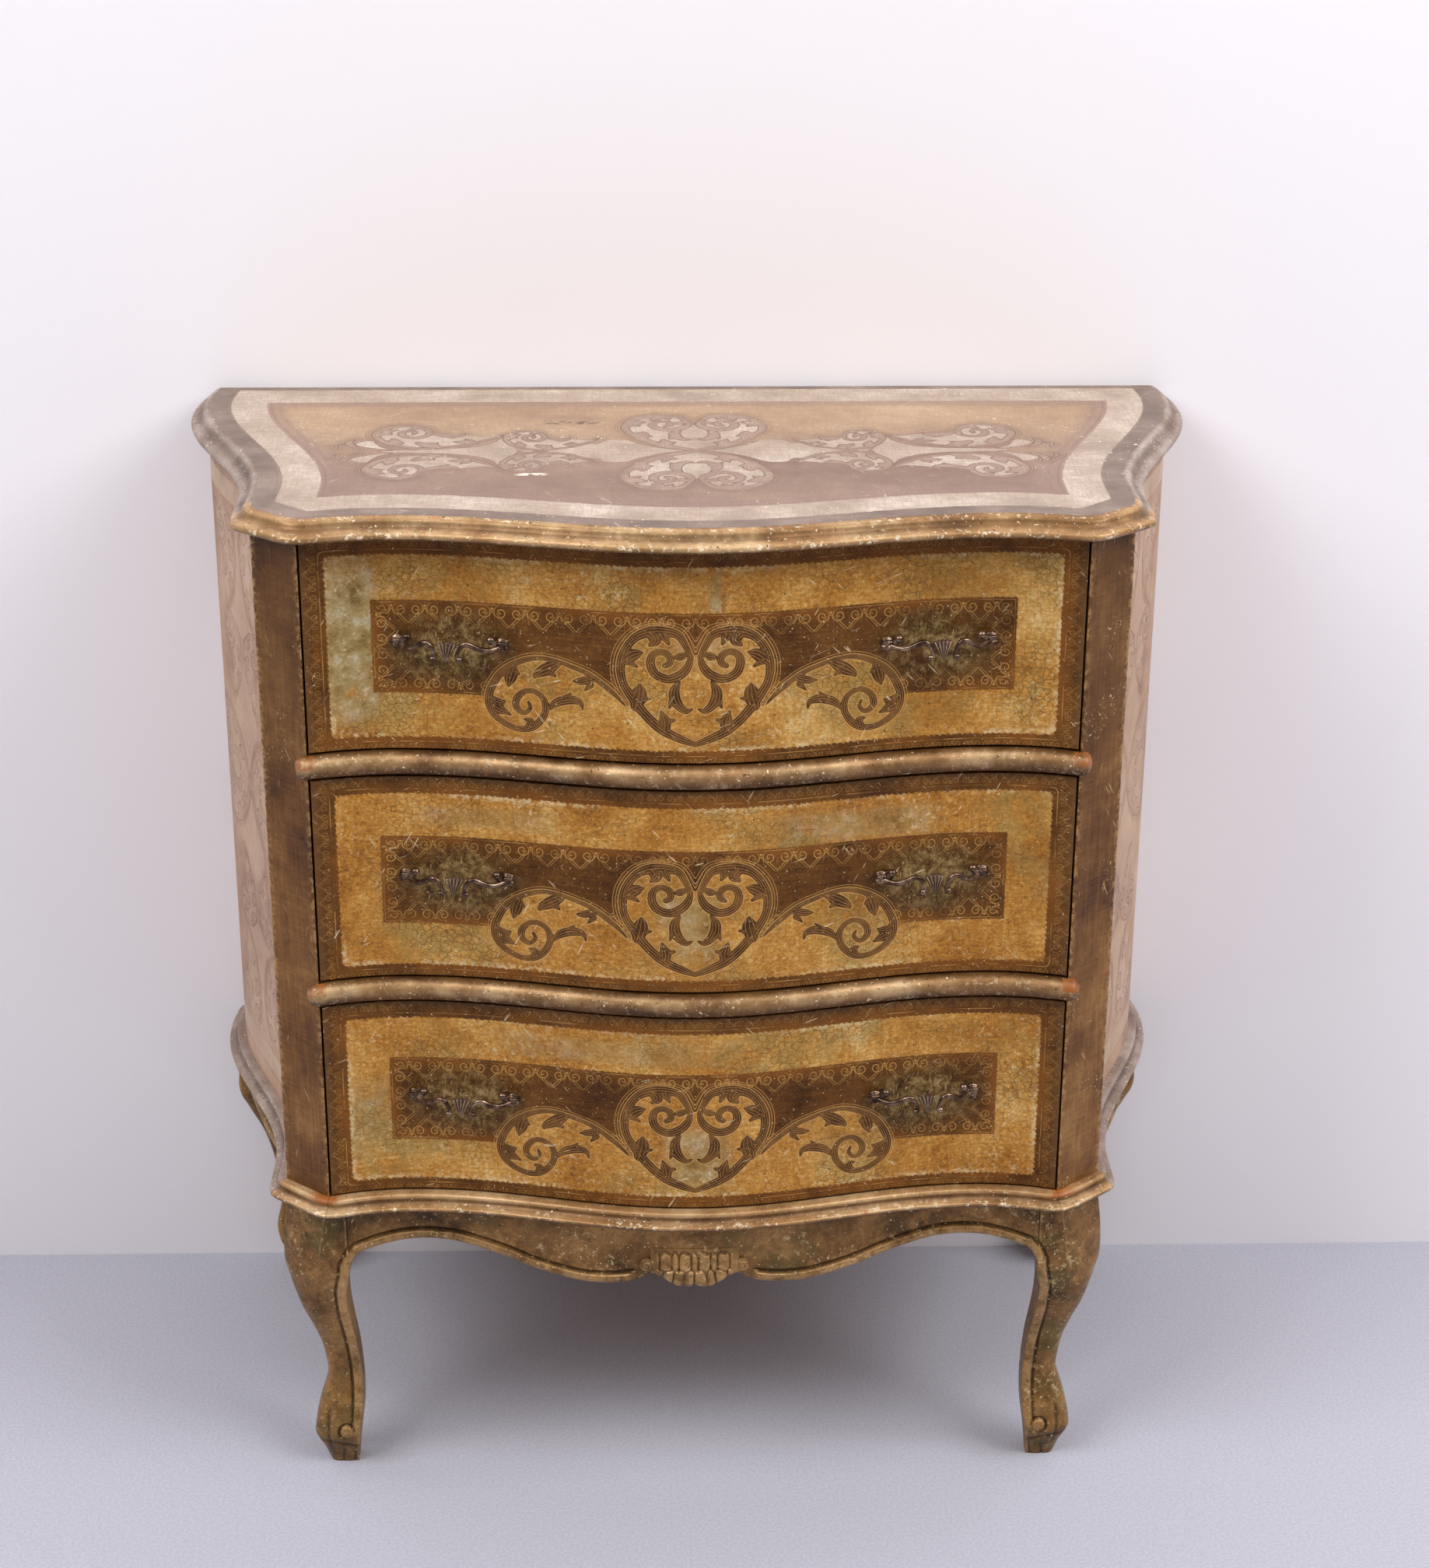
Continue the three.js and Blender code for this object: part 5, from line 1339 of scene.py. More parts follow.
leg = dict(
    sweep=28.0, swell=5.0, rearSwell=10.0, rearInset=2.0, rows=170, plainFlatness=0.3, edgeRounding=2.2,
    cornerSteps=(18, 9, 9, 7), sideSteps=6, frontSteps=34, rubbed=0.8, facing=(0.35, 0.4), topRun=2.0,
    # height, draw-in in front, at the rear, width, cut of the outer corner, its flatness, other corners,
    # swell held back
    shape=[(1, 0, 0, 1, 0.66, 0.5, 0.05, 1), (0.916, 0, 0, 1, 0.66, 0.48, 0.05, 0.4),
           (0.857, 0, 0, 1, 0.64, 0.45, 0.06, 0.1), (0.798, 0, 0, 1, 0.62, 0.42, 0.08, 0),
           (0.758, 0.03, 0.06, 0.97, 0.58, 0.38, 0.1, 0), (0.719, 0.13, 0.16, 0.87, 0.54, 0.35, 0.14, 0),
           (0.679, 0.23, 0.27, 0.78, 0.5, 0.32, 0.17, 0), (0.6, 0.425, 0.56, 0.68, 0.46, 0.3, 0.2, 0),
           (0.521, 0.67, 0.75, 0.58, 0.45, 0.3, 0.2, 0), (0.442, 0.875, 0.88, 0.51, 0.45, 0.3, 0.2, 0),
           (0.363, 0.98, 0.96, 0.48, 0.45, 0.3, 0.2, 0), (0.324, 1, 0.99, 0.477, 0.45, 0.3, 0.2, 0),
           (0.284, 0.925, 0.99, 0.53, 0.45, 0.3, 0.2, 0), (0.205, 0.705, 0.84, 0.65, 0.42, 0.3, 0.2, 0),
           (0.146, 0.607, 0.9, 0.675, 0.42, 0.3, 0.22, 0), (0.118, 0.596, 0.99, 0.66, 0.42, 0.3, 0.24, 0),
           (0.087, 0.69, 1.06, 0.585, 0.45, 0.3, 0.26, 0), (0.055, 0.82, 1.1, 0.49, 0.45, 0.3, 0.28, 0),
           (0, 0.98, 1.15, 0.37, 0.45, 0.3, 0.3, 0)],
)
kneeFront = float(frontCurve(np.array(chest["cantHalf"] - apron["knee"])))


def legMeasures(share):
    # each column of the leg's table at shares of its height
    rows = smoothLine(leg["shape"][::-1], 10)
    return [np.interp(share, rows[:, 0], column) for column in rows.T[1:]]


def apronLow(x):
    # height of the scalloped edge under the front
    return chest["legTop"] - tableValue(apron["edge"], np.abs(x) / apron["half"]) * apron["drop"]


def openingEdge():
    # points along the apron's edge, and then down the leg's inner edge
    x = np.linspace(apron["edgeFrom"] * apron["half"], apron["half"], apron["edgeSteps"])
    share = np.linspace(*apron["legEdge"], apron["edgeSteps"])
    draw, _, width = legMeasures(share)[:3]
    inner = chest["cantHalf"] - draw * leg["sweep"] - width * apron["knee"]
    return np.vstack([np.column_stack([x, apronLow(x)]), np.column_stack([inner, share * apron["top"]])])


edgeLine = openingEdge()


def edgeDistance(x, z):
    # distance in front view to the nearest point of the opening's edge
    flat = np.column_stack([np.abs(x).ravel(), z.ravel()])
    nearest = [np.hypot(*(block[:, None] - edgeLine[None]).transpose(2, 0, 1)).min(1)
               for block in blocks(flat)]
    return np.concatenate(nearest).reshape(x.shape)


def beadRelief(distance):
    # half-round bead beside the edge, then a narrow groove
    half, wide = apron["beadHigh"] / 2, apron["grooveWide"]
    sunk = np.maximum(1 - np.abs(distance - apron["beadHigh"] - wide / 2) / wide, 0)
    return apron["beadProud"] * dome((distance - half) / half) - apron["grooveDeep"] * sunk**0.7


def reliefField(relief):
    # painted highlight, with gold rubbed through, on what stands proud; painted shade in what is sunk
    rubbed, dark = fade(relief, 0, apron["proudRelief"]), fade(-relief, 0, apron["hollowRelief"])
    return np.stack([rubbed, dark, np.zeros(relief.shape)], axis=-1)


def carvedFields(relief):
    # the same for a carved face, with two plain columns behind it
    return np.concatenate([reliefField(relief), np.zeros((len(relief), 2, 3))], axis=1).reshape(-1, 3)


def makeFrontApron():
    # close rows up from the scalloped edge for the bead, and wide ones above them
    x = np.linspace(-apron["half"], apron["half"], apron["stations"] + 1)
    low = apronLow(x)
    near = np.linspace(0, apron["carvedHigh"], apron["carvedRows"])
    left = apron["top"] - low - apron["carvedHigh"]
    plain = apron["carvedHigh"] + left[:, None] * np.linspace(0.1, 1, apron["plainRows"])
    z = low[:, None] + np.concatenate([np.repeat(near[None], len(x), 0), plain], axis=1)
    z = np.minimum(z, apron["top"])
    grid = np.repeat(x[:, None], z.shape[1], 1)
    beyond = fade(np.abs(grid), apron["plainHalf"] * apron["half"], apron["plainRun"])
    relief = beadRelief(edgeDistance(grid, z)) * beyond
    relief[:, 0] = 0
    front = np.stack([grid, frontCurve(x)[:, None] - relief, z], axis=2)
    behind = [np.column_stack([x, frontCurve(x) + apron["thickness"], height])[:, None]
              for height in (np.full(len(x), apron["top"]), low)]
    rings = np.concatenate([front, *behind], axis=1)
    addPiece("scalloped_apron", [shell(rings)], "case", legGilt, ["front_apron"],
             dict(arris=carvedFields(relief)))


makeFrontApron()


# Shell in the middle of the apron: two tiers of upright flutes with rounded heads, between scrolls
carvedShell = dict(
    half=34.0, top=22.0, proud=5.4, pitch=7.4, across=230, down=90, rim=(4.0, 3.0), roundEnds=0.5,
    # head, foot and height of each tier's flutes
    upper=(25.5, 42.0, 1.7), lower=(38.5, 56.5, 1.5), lowerFrom=36.0, lowerSpread=80.0,
    wander=(1.1, 0.42), arch=2.6, uneven=(0.6, 0.9), headRun=1.2, footRun=4.0, crease=1.3,
    lip=(1.1, 0.4),
    # share of the way down, share of the full relief
    body=[(0, 0.02), (0.1, 0.16), (0.3, 0.5), (0.6, 0.95), (0.86, 0.9), (0.96, 0.6), (1, 0.15)],
    edge=[(0, 52.2), (3, 53.3), (8, 54.5), (14, 53.1), (20, 50), (24, 46.9), (28, 45.2), (34, 43.5)],
    ribShade=1.3, rubbed=0.3, scrollShade=(0.5, 0.2, 0), scrollAt=37.0, scrollDrop=36.5,
    scroll=5.6, scrollProud=4.4, scrollSeat=0.3,
)
spiral = dict(turns=1.7, cut=(0.12, 0.9), between=(0.25, 0.9), rings=14, around=48)


def fluteTier(grid, fallen, spread, shift, head, foot):
    # a row of round-headed flutes over a face; grid runs across it, and fallen down from the apron's top
    wander, waves = carvedShell["wander"]
    phase = (grid + wander * np.sin(grid * waves + shift)) / (carvedShell["pitch"] * spread) + shift
    across = np.abs(phase - np.round(phase)) * 2
    uneven, often = carvedShell["uneven"]
    arch = head + carvedShell["arch"] * across**2 + uneven * np.sin(grid * often)
    between = fade(fallen, arch, carvedShell["headRun"]) * fade(-fallen, -foot, carvedShell["footRun"])
    lip = gouge(fallen - arch, carvedShell["lip"]) * (fallen < foot)
    return between * (1 - carvedShell["crease"] * across**3) - lip


def makeCarvedShell():
    # a swollen face with two rows of flutes, of which the lower ones spread, and two scrolls
    x = np.linspace(-carvedShell["half"], carvedShell["half"], carvedShell["across"] + 1)
    high = chest["legTop"] - carvedShell["top"]
    low = chest["legTop"] - tableValue(carvedShell["edge"], np.abs(x))
    down = np.linspace(0, 1, carvedShell["down"] + 1)
    z = high - (high - low)[:, None] * down[None]
    grid = np.repeat(x[:, None], len(down), 1)
    body = np.interp(down, *np.array(carvedShell["body"]).T)[None]
    body = body * (1 - carvedShell["roundEnds"] * (grid / carvedShell["half"]) ** 2)
    # the lower flutes lie half a pitch over
    fallen = chest["legTop"] - z
    spread = 1 + (fallen - carvedShell["lowerFrom"]) / carvedShell["lowerSpread"]
    ribs = 0
    for key, wider, shift in (("upper", 1.0, 0.0), ("lower", spread, 0.5)):
        head, foot, deep = carvedShell[key]
        ribs = ribs + deep * fluteTier(grid, fallen, wider, shift, head, foot)
    rim, run = carvedShell["rim"]
    ribs = ribs * fade(-np.abs(grid), rim - carvedShell["half"], run)
    relief = np.maximum(body * carvedShell["proud"] + ribs, 0.02)
    seat = frontCurve(x)[:, None] - chest["fit"]
    front = np.stack([grid, seat - relief, z], axis=2)
    behind = [np.column_stack([x, seat[:, 0] + chest["fit"] / 2, height])[:, None]
              for height in (low, np.full(len(x), high))]
    # painted highlight on the ribs and painted shade between them; the whole shell a little paler
    carved = reliefField(ribs * carvedShell["ribShade"]) + (carvedShell["rubbed"], 0, 0)
    bodies = [shell(np.concatenate([front, *behind], axis=1))]
    fields = [np.concatenate([carved, np.zeros((len(x), 2, 3))], axis=1).reshape(-1, 3)]
    seat = float(frontCurve(np.array(carvedShell["scrollAt"]))) - carvedShell["scrollSeat"]
    for side in (-1, 1):
        bodies.append(scrollDisc(side * carvedShell["scrollAt"], chest["legTop"] - carvedShell["scrollDrop"],
                                 carvedShell["scroll"], carvedShell["scrollProud"], seat))
        fields.append(np.full((len(bodies[-1][0]), 3), carvedShell["scrollShade"]))
    addPiece("carved_shell", bodies, "case", legGilt, ["apron_shell"], dict(arris=fields))


def scrollDisc(x, z, radius, proud, seat):
    # flat domed button whose face carries a spiral groove
    turn = np.linspace(0, 2 * np.pi, spiral["around"], endpoint=False)
    first, last = spiral["between"]
    rows = []
    for share in np.linspace(0.04, 1, spiral["rings"]):
        winding = np.abs((share * spiral["turns"] + turn / (2 * np.pi)) % 1 - 0.5)
        height = proud * dome(share * 0.96) ** 0.6
        height = height - gouge(winding, spiral["cut"]) * (first < share < last)
        rows.append((share * radius, height))
    rows.append((radius, np.zeros(len(turn))))
    return shell([np.column_stack([x + wide * np.cos(turn), seat - height, z + wide * np.sin(turn)])
                  for wide, height in rows])


makeCarvedShell()


# Side aprons
sideApron = dict(
    drop=50.0, thickness=16.0, stations=120, carvedRows=25, carvedHigh=12.0,
    edge=[(0, 0.93), (0.04, 0.72), (0.1, 0.6), (0.18, 0.55), (0.27, 0.6), (0.38, 0.74), (0.5, 0.82),
          (0.62, 0.74), (0.73, 0.6), (0.82, 0.55), (0.9, 0.6), (0.96, 0.72), (1, 0.93)],
)
rearLegBack = chest["depth"] - leg["rearInset"]


def makeSideAprons():
    # rows up from the scalloped edge at each station along the side
    share = np.linspace(0, 1, sideApron["stations"] + 1)
    first = kneeFront + apron["knee"] + chest["fit"]
    y = first + share * (rearLegBack - apron["knee"] - chest["fit"] - first)
    low = chest["legTop"] - tableValue(sideApron["edge"], share) * sideApron["drop"]
    near = np.linspace(0, sideApron["carvedHigh"], sideApron["carvedRows"])
    z = np.concatenate([low[:, None] + near[None], np.full((len(y), 1), apron["top"])], axis=1)
    relief = np.concatenate([np.repeat(beadRelief(near)[None], len(y), 0), np.zeros((len(y), 1))], axis=1)
    for side, word in ((-1, "left"), (1, "right")):
        face = side * (sideCurve(y)[:, None] + relief)
        front = np.stack([face, np.repeat(y[:, None], z.shape[1], 1), z], axis=2)
        inner = side * (sideCurve(y) - sideApron["thickness"])
        behind = [np.column_stack([inner, y, height])[:, None]
                  for height in (np.full(len(y), apron["top"]), low)]
        rings = np.concatenate([front, *behind], axis=1)
        addPiece(f"apron_side_{word}", [shell(rings)], "case", legGilt, [f"{word}_side_apron"],
                 dict(arris=carvedFields(relief)))


makeSideAprons()


# Legs: a square section with its outer corner cut back, drawn down the height
def corner(point, cutX, cutY, flatness, alongXFirst, steps):
    # quadratic curve over a corner, passing at mid way where the flatness puts it
    t = np.linspace(0, 1, steps)[:, None]
    pull = 2 * flatness - 0.5
    ends = [point - (cutX, 0), point - (0, cutY)]
    control = point - (cutX * pull, cutY * pull)
    start, end = ends if alongXFirst else ends[::-1]
    return (1 - t) ** 2 * start + 2 * t * (1 - t) * control + t**2 * end


def legSection(x0, x1, y0, y1, cut, flatness, rounding, edgeRounding, frontSteps):
    # closed section of a leg: four eased corners with straight sides between them
    outer, back, inner, front = leg["cornerSteps"]
    plain, slope = leg["plainFlatness"], chest["cantDepth"] / chest["cantWidth"]
    corners = [
        corner(np.array([x1, y0]), cut, -cut * slope, flatness, True, outer),
        corner(np.array([x1, y1]), rounding, rounding, plain, False, back),
        corner(np.array([x0, y1]), -rounding, rounding, plain, True, inner),
        corner(np.array([x0, y0]), -edgeRounding, -edgeRounding, plain, False, front),
    ]
    rows = []
    for part, following in zip(corners, corners[1:] + corners[:1]):
        steps = frontSteps if following is corners[0] else leg["sideSteps"]
        share = np.linspace(0, 1, steps + 2)[1:-1, None]
        rows += [part, part[-1] * (1 - share) + following[0] * share]
    return np.vstack(rows)


def ringNormals(rings):
    # outward in plan at each point of level rings
    along = np.roll(rings, -1, 1) - np.roll(rings, 1, 1)
    normal = np.stack([along[..., 1], -along[..., 0]], axis=2)
    return normal / np.maximum(np.linalg.norm(normal, axis=2), 1e-9)[..., None]


def convexity(rings):
    # how sharply each ring turns at a point, for the rubbed edges
    before, after = rings - np.roll(rings, 1, 1), np.roll(rings, -1, 1) - rings
    cross = before[..., 0] * after[..., 1] - before[..., 1] * after[..., 0]
    lengths = [np.linalg.norm(step, axis=2) for step in (before, after, before + after)]
    return np.clip(np.abs(cross) / np.maximum(np.prod(lengths, axis=0) / 2, 1e-6) * 2.0, 0, 1)


# Carving of a front leg, in front view. Pairs hold a place and a run, or a width and a depth.
legCarving = dict(
    beadEnd=(30.0, 6.0), beadFull=78.0, beadLeast=0.6, scrollAt=(278.5, 34.5), scroll=5.2, button=2.4,
    ringAt=2.6, ring=(0.6, 0.7), channelAt=6.3, channel=(1.0, 1.7), channelFrom=(-95.0, 40.0),
    footAt=20.0, heelAt=292.0, heelLean=0.06, heelWave=(2.5, 14.0), heel=(1.3, 1.3), heelFoot=(14.0, 6.0),
    heelHead=(62.0, 14.0), lobes=(271.5, 281.0), lobeLean=0.12, lobe=(1.2, 0.9), lobeTop=(19.0, 5.0),
    toeAt=(280.0, 21.5), toeLean=0.25, toe=(1.4, 1.1),
)


def frontLegRelief(x, z, toFront):
    # bead and groove down the inner edge, ending in a scroll; grooves part the toe into lobes
    c = legCarving
    relief = beadRelief(edgeDistance(x, z)) * fade(z, *c["beadEnd"]) * toFront
    relief = relief * np.interp(z, [c["beadEnd"][0], c["beadFull"]], [c["beadLeast"], 1])
    dx, dz = x - c["scrollAt"][0], z - c["scrollAt"][1]
    scroll, around = np.hypot(dx, dz), np.degrees(np.arctan2(dz, dx))
    button = dome(scroll / c["scroll"]) * c["button"] - gouge(scroll - c["ringAt"], c["ring"])
    relief = np.where(scroll < c["scroll"], button, relief)
    relief = relief - gouge(scroll - c["channelAt"], c["channel"]) * fade(around, *c["channelFrom"])
    # a line that wanders up the heel, two short ones between the toe's lobes, and one across above them
    up, (swing, length) = z - c["footAt"], c["heelWave"]
    heel = c["heelAt"] - c["heelLean"] * up + swing * np.sin(up / length)
    top, run = c["heelHead"]
    relief = relief - gouge(x - heel, c["heel"]) * fade(z, *c["heelFoot"]) * fade(-z, -top, run)
    top, run = c["lobeTop"]
    for lobe in c["lobes"]:
        relief = relief - gouge(x - lobe + up * c["lobeLean"], c["lobe"]) * fade(-z, -top, run)
    relief = relief - gouge(z - c["toeAt"][1] - c["toeLean"] * (x - c["toeAt"][0]), c["toe"])
    return relief * toFront


def makeLegs():
    # sections down the height; the front ones are carved along their normals
    share = np.linspace(1, 0, leg["rows"] + 1)
    draw, rearDraw, width, cutBack, flatness, rounding, hold = legMeasures(share)
    size = width * apron["knee"]
    for side, word in ((-1, "left"), (1, "right")):
        swell = leg["swell"] * (1 - hold)
        x1 = chest["cantHalf"] + swell - draw * leg["sweep"]
        y0 = kneeFront + draw * leg["sweep"]
        rings = np.array([legSection(x1[k] - size[k] - swell[k], x1[k], y0[k], y0[k] + size[k],
                                     cutBack[k] * size[k], flatness[k], rounding[k] * size[k],
                                     leg["edgeRounding"], leg["frontSteps"]) for k in range(len(share))])
        z = np.repeat((share * apron["top"])[:, None], rings.shape[1], 1)
        normal = ringNormals(rings)
        toFront = fade(-normal[..., 1], *leg["facing"])
        relief = frontLegRelief(rings[..., 0], z, toFront) * fade(apron["top"] - z, 0, leg["topRun"])
        moved = rings + normal * relief[..., None]
        # painted highlight on the proud carving and painted shade in its grooves; edges rubbed paler
        fields = reliefField(relief)
        fields[..., 0] = np.maximum(fields[..., 0], leg["rubbed"] * convexity(rings))
        addPiece(f"cabriole_leg_front_{word}", [shell(np.dstack([moved * (side, 1), z]))], "case", legGilt,
                 [f"front_{word}_leg"], dict(arris=fields.reshape(-1, 3)))
        swell = leg["rearSwell"] * (1 - hold)
        x1 = sideCurve(chest["depth"] - apron["knee"] / 2) + swell - rearDraw * leg["sweep"]
        eased = rounding * size
        rings = np.array([legSection(x1[k] - size[k] - swell[k], x1[k], rearLegBack - size[k], rearLegBack,
                                     eased[k], leg["plainFlatness"], eased[k], eased[k], leg["sideSteps"])
                          for k in range(0, len(share), 2)])
        z = np.repeat((share[::2] * apron["top"])[:, None], rings.shape[1], 1)
        fields = np.stack([leg["rubbed"] * convexity(rings), np.zeros(z.shape), np.zeros(z.shape)], axis=-1)
        addPiece(f"cabriole_leg_rear_{word}", [shell(np.dstack([rings * (side, 1), z]))], "case", legGilt,
                 [f"rear_{word}_leg"], dict(arris=fields.reshape(-1, 3)))


makeLegs()
print("base made")


# Handles: leaf and ball at each screw, swan necks, small curls and a fluted shell in the middle
pull = dict(
    inset=106.0, raised=2.0, span=73.0, proud=20.0, screw=32.0, screwUp=3.6, screwReach=(0.3, 9.0), post=2.6,
    # centre along, reach and height, and then the half sizes
    leaf=[(38.0, 4.8, 1.6), (4.9, 4.4, 4.9)], ball=[(30.2, 7.6, 5.9), (3.2, 3.2, 3.2)],
    curl=[(9.6, 19.4, -5.4), (2.4, 2.4, 2.4)],
    shellHigh=14.2, shellTurn=0.54, shellFoot=8.4, shellSeat=0.6, shellBack=5.0, shellSteps=(61, 20),
    # pale: the shell's rubbed paleness, the painted highlight on its flute crests, and its back
    flutes=5, fluteHigh=0.5, fluteDeep=0.9, lean=(2.8, 1.8), pale=(0.55, 0.4, 0.3),
    # along, reach, height, radius of the neck
    neck=[(37.6, 4.5, 1.0, 2.4), (35.4, 6.5, 0.4, 2.3), (32.2, 9.5, -0.2, 2.2), (28.6, 12.5, -0.1, 2.15),
          (24.8, 15.2, 1.2, 2.1), (21.0, 17.2, 3.4, 2.1), (17.4, 18.4, 5.6, 2.05), (14.2, 19.2, 6.4, 2.0),
          (11.4, 19.6, 4.8, 1.8), (9.4, 19.7, 1.4, 1.5), (7.9, 19.7, -2.4, 1.3), (7.5, 19.6, -5.2, 1.1),
          (8.6, 19.4, -7.4, 0.9)],
)


def tube(centres, radii, sides=18):
    # round section carried along a line, its frame turned with the line's direction
    centres = np.asarray(centres, float)
    along = np.gradient(centres, axis=0)
    along /= np.linalg.norm(along, axis=1)[:, None]
    across = np.cross((0, 1, 0), along)
    across /= np.linalg.norm(across, axis=1)[:, None]
    outward = np.cross(along, across)
    turn = np.linspace(0, 2 * np.pi, sides, endpoint=False)
    circle = np.cos(turn)[None, :, None] * across[:, None] + np.sin(turn)[None, :, None] * outward[:, None]
    return shell(centres[:, None] + circle * np.asarray(radii)[:, None, None])


def lump(centre, sizes, rows=14, sides=26, ridges=None):
    # ellipsoid with its poles left and right; ridges swell or sink its radius
    polar = np.linspace(0.06, np.pi - 0.06, rows + 1)[:, None]
    turn = np.linspace(0, 2 * np.pi, sides, endpoint=False)[None]
    radius = np.ones((rows + 1, sides)) if ridges is None else ridges(polar, turn)
    unit = np.stack([-np.cos(polar) * np.ones_like(turn), np.sin(polar) * np.sin(turn),
                     np.sin(polar) * np.cos(turn)], axis=2)
    return shell(np.asarray(centre) + unit * radius[..., None] * np.asarray(sizes))


def leafRidges(polar, turn):
    # six ribs round the leaf, and a groove where it meets the neck
    return 1 + 0.17 * np.cos(6 * turn) * np.sin(polar) - 0.12 * groove(polar - 1.9, 0.16)


def pullShell():
    # fan of five flutes from a point low down, leaning back towards its scalloped upper edge
    (across, up), (leanUp, leanOut), (pale, crestHighlight, behind) = pull["shellSteps"], pull["lean"], pull["pale"]
    angle = np.linspace(-1, 1, across)
    flute = np.cos(angle * np.pi * pull["flutes"])
    reach, turn = pull["shellHigh"] + pull["fluteHigh"] * flute, angle * pull["shellTurn"]
    seat = pull["shellSeat"] - pull["proud"]
    rows = []
    for r in np.linspace(0.08, 1, up):
        lean = leanUp * r**2 + leanOut * r * angle**2 - pull["fluteDeep"] * flute * r
        height = np.cos(turn) * reach * r - pull["shellFoot"]
        rows.append(np.column_stack([np.sin(turn) * reach * r, seat + lean, height]))
    front = np.array(rows)
    back = front.copy()
    back[..., 1] = np.maximum(front[..., 1].max(), pull["shellBack"] - pull["proud"]) + 0.4
    # shades: the shell rubbed paler, painted highlight on the flute crests, its back a little paler
    shades = np.concatenate([pale + crestHighlight * flute, np.full(len(flute), behind)])
    return shell(np.concatenate([front, back[:, ::-1]], axis=1)), np.tile(shades, len(front))


def spindle(ends, radius, sides=16):
    # round rod between two points
    turn = np.linspace(0, 2 * np.pi, sides, endpoint=False)
    return shell([np.column_stack([x + radius * np.cos(turn), np.full(sides, y), z + radius * np.sin(turn)])
                  for x, y, z in ends])


def makeHandle(name, node, body, x, z):
    # worked out about the middle of the handle, and then turned to the curve of the drawer front
    line, bodies = smoothLine(pull["neck"], 6), []
    for side in (-1, 1):
        mirrored = (side, -1, 1)
        bodies.append(tube(line[:, :3] * mirrored, line[:, 3]))
        for key, shape in (("leaf", (18, 48, leafRidges)), ("ball", ()), ("curl", ())):
            centre, sizes = pull[key]
            bodies.append(lump(np.multiply(centre, mirrored), sizes, *shape))
        ends = [(side * pull["screw"], -reach, pull["screwUp"]) for reach in pull["screwReach"]]
        bodies.append(spindle(ends, pull["post"]))
    fields = [np.zeros((len(points), 3)) for points, _ in bodies]
    fan, pale = pullShell()
    bodies.append(fan)
    fields.append(np.outer(pale, (1, 0, 0)))
    chord = frontCurve(np.array([x - pull["span"] / 2, x + pull["span"] / 2]))
    turn = math.atan((chord[1] - chord[0]) / pull["span"])
    c, s = math.cos(turn), math.sin(turn)
    placed = []
    for points, faces in bodies:
        px, py, pz = points.T
        across, back = px * c - py * s + x, px * s + py * c + chord.mean()
        placed.append((np.column_stack([across, back, pz + z]), faces))
    addPiece(name, placed, body, darkBronze, [node], dict(arris=fields), sharp=50)


for number, low in zip((3, 2, 1), openings):
    for side, word in ((-1, "left"), (1, "right")):
        makeHandle(f"pull_{number}_{word}", f"drawer_{number}_{word}_handle", drawerBodies[number],
                   side * (chest["frontHalf"] - pull["inset"]), low + chest["opening"] / 2 + pull["raised"])
print("handles made")


# Finishes of the kept joinery
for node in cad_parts.values():
    node.data.materials.clear()
    node.data.materials.append(bareWood)


# Room: floor, wall close behind the chest, and soft light
room = dict(
    wallAt=0.204, reach=6.0, wall=(249, 245, 249), floor=(191, 191, 202), floorGrain=(180, 180, 192),
    air=(238, 234, 236), airPower=0.13,
)
# place, size, power and the point it shines at; the last one stands in the gap behind the chest
lamps = dict(
    soft_box_left=[(-2.4, -1.7, 3.2), (2.4, 1.8), 84, (0, 0, 0.4)],
    soft_box_right=[(2.7, -1.4, 3.0), (2.4, 1.8), 96, (0, 0, 0.4)],
    soft_box_above=[(0, -1.5, 3.2), (3.6, 2.0), 32, (0, 0, 0.4)],
    soft_box_behind=[(0, 0.2035, 0.49), (0.72, 0.6), 0.48, (0, 0, 0.49)],
)


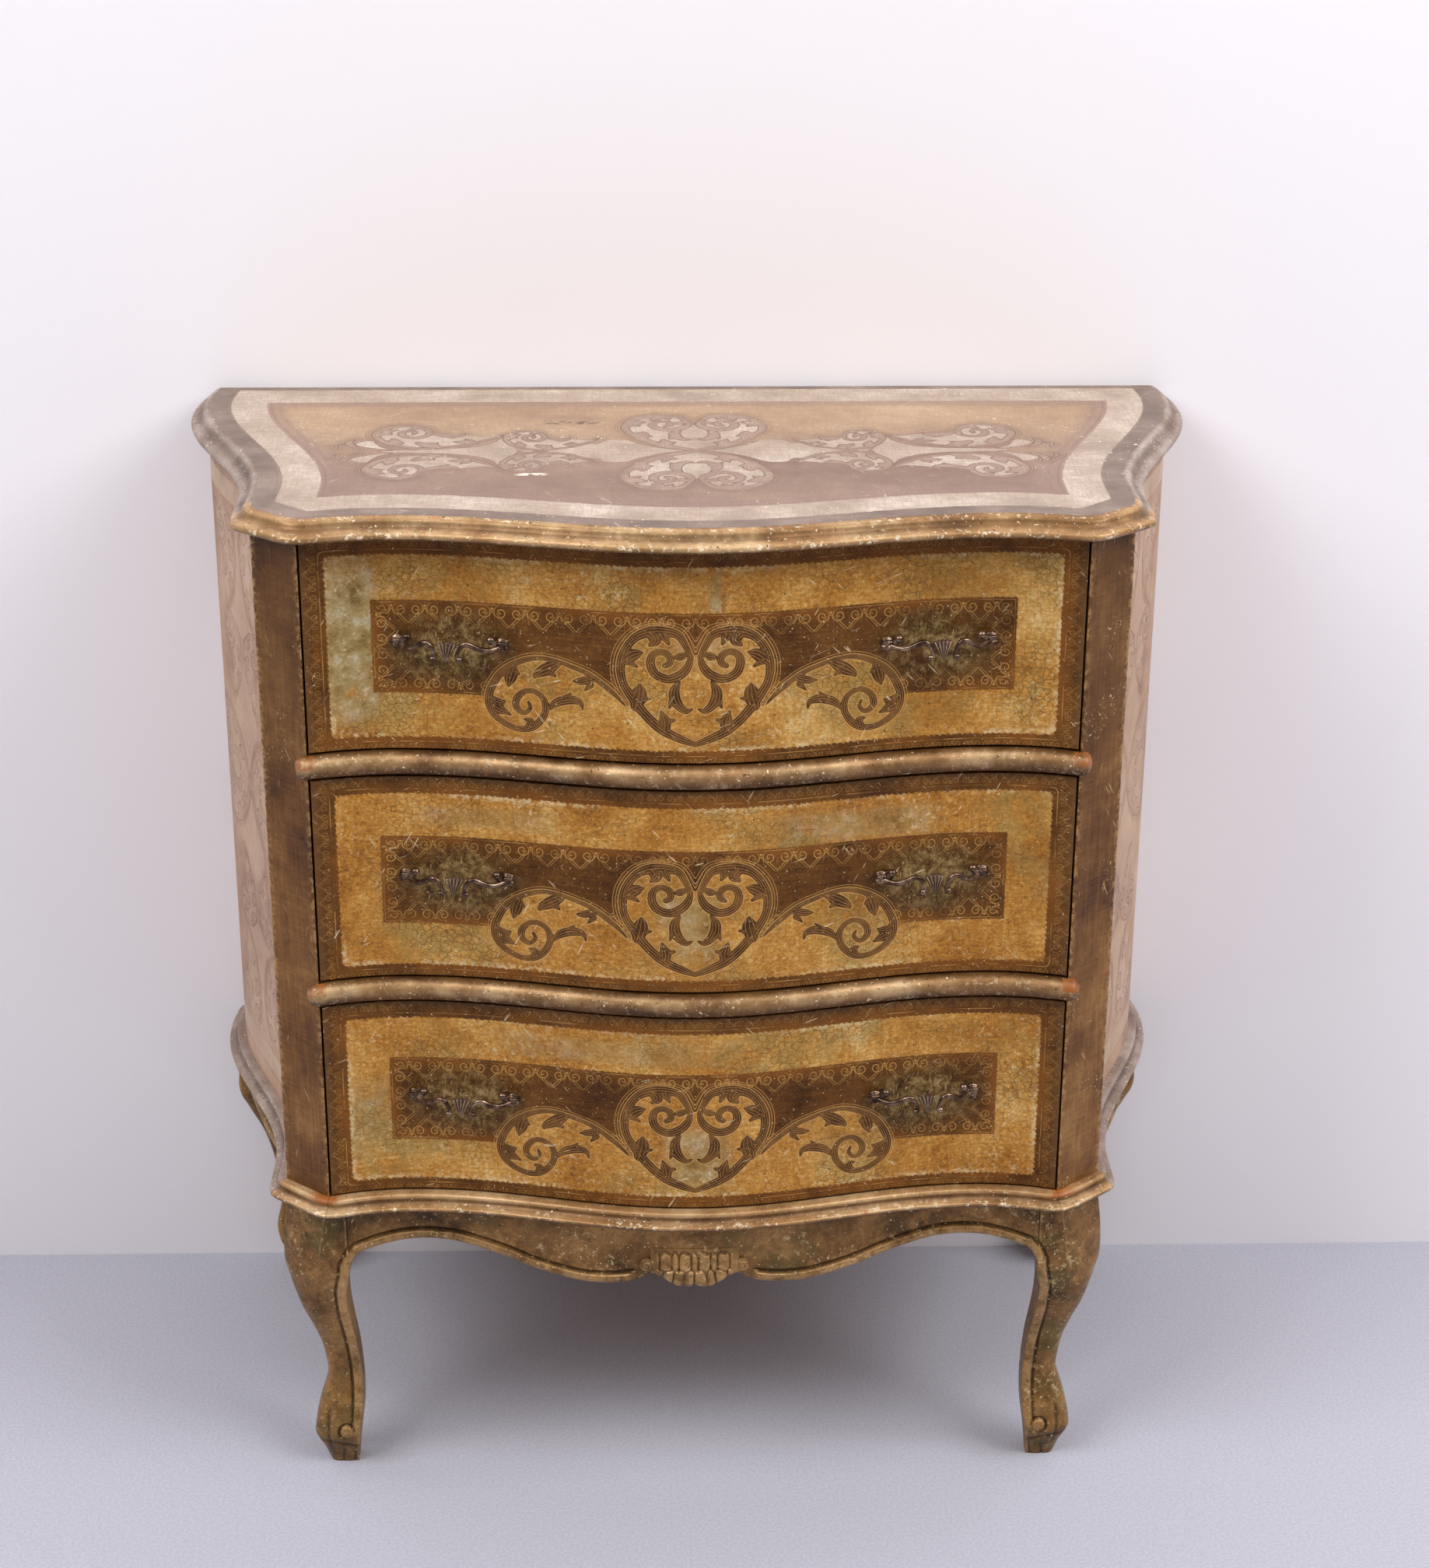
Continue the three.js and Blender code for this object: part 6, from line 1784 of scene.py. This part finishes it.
def makePlane(name, low, high, finish):
    # rectangle from a low corner to a high one, level or upright along x
    (x0, y0, z0), (x1, y1, z1) = low, high
    mesh = bpy.data.meshes.new(name)
    mesh.from_pydata([low, (x1, y0, z0), high, (x0, y1, z1)], [], [(0, 1, 2, 3)])
    mesh.materials.append(finish.material)
    piece = bpy.data.objects.new(name, mesh)
    bpy.context.collection.objects.link(piece)


def makeRoom():
    # a wide floor, and a tall wall behind the chest
    reach, back = room["reach"], room["wallAt"]
    floor, wall = Finish("studio_floor", 0.8), Finish("studio_wall", 0.8)
    grain = floor.noise(400, 3).step(0.35, 0.65)
    floor.done(floor.mix(grain, tone(*room["floorGrain"]), tone(*room["floor"])))
    wall.done(tone(*room["wall"]))
    # the wall is clear from behind, to show the back of the chest
    clear, either = wall.add("ShaderNodeBsdfTransparent"), wall.add("ShaderNodeMixShader")
    behind = wall.add("ShaderNodeNewGeometry").outputs["Backfacing"]
    for socket, end in zip(either.inputs, (behind, wall.shader.outputs[0], clear.outputs[0])):
        wall.tree.links.new(end, socket)
    wall.tree.links.new(either.outputs[0], wall.tree.nodes["Material Output"].inputs["Surface"])
    makePlane("studio_floor", (-reach, -reach, 0), (reach, reach, 0), floor)
    makePlane("studio_wall", (-reach, back, 0), (reach, back, reach), wall)


def makeLight(name, place, size, power, towards):
    # rectangular lamp turned towards a point
    data = bpy.data.lights.new(name, "AREA")
    data.shape = "RECTANGLE"
    data.size, data.size_y = size
    data.energy = power
    light = bpy.data.objects.new(name, data)
    light.location = place
    light.rotation_euler = (Vector(towards) - Vector(place)).to_track_quat("-Z", "Y").to_euler()
    bpy.context.collection.objects.link(light)


def makeWorld():
    # even light from all around
    world = bpy.data.worlds.new("studio")
    world.use_nodes = True
    colour, power = world.node_tree.nodes["Background"].inputs[:2]
    colour.default_value = tone(*room["air"])
    power.default_value = room["airPower"]
    bpy.context.scene.world = world


makeRoom()
for name, settings in lamps.items():
    makeLight(name, *settings)
makeWorld()
bpy.context.scene.view_settings.view_transform = "Standard"
print("room made")
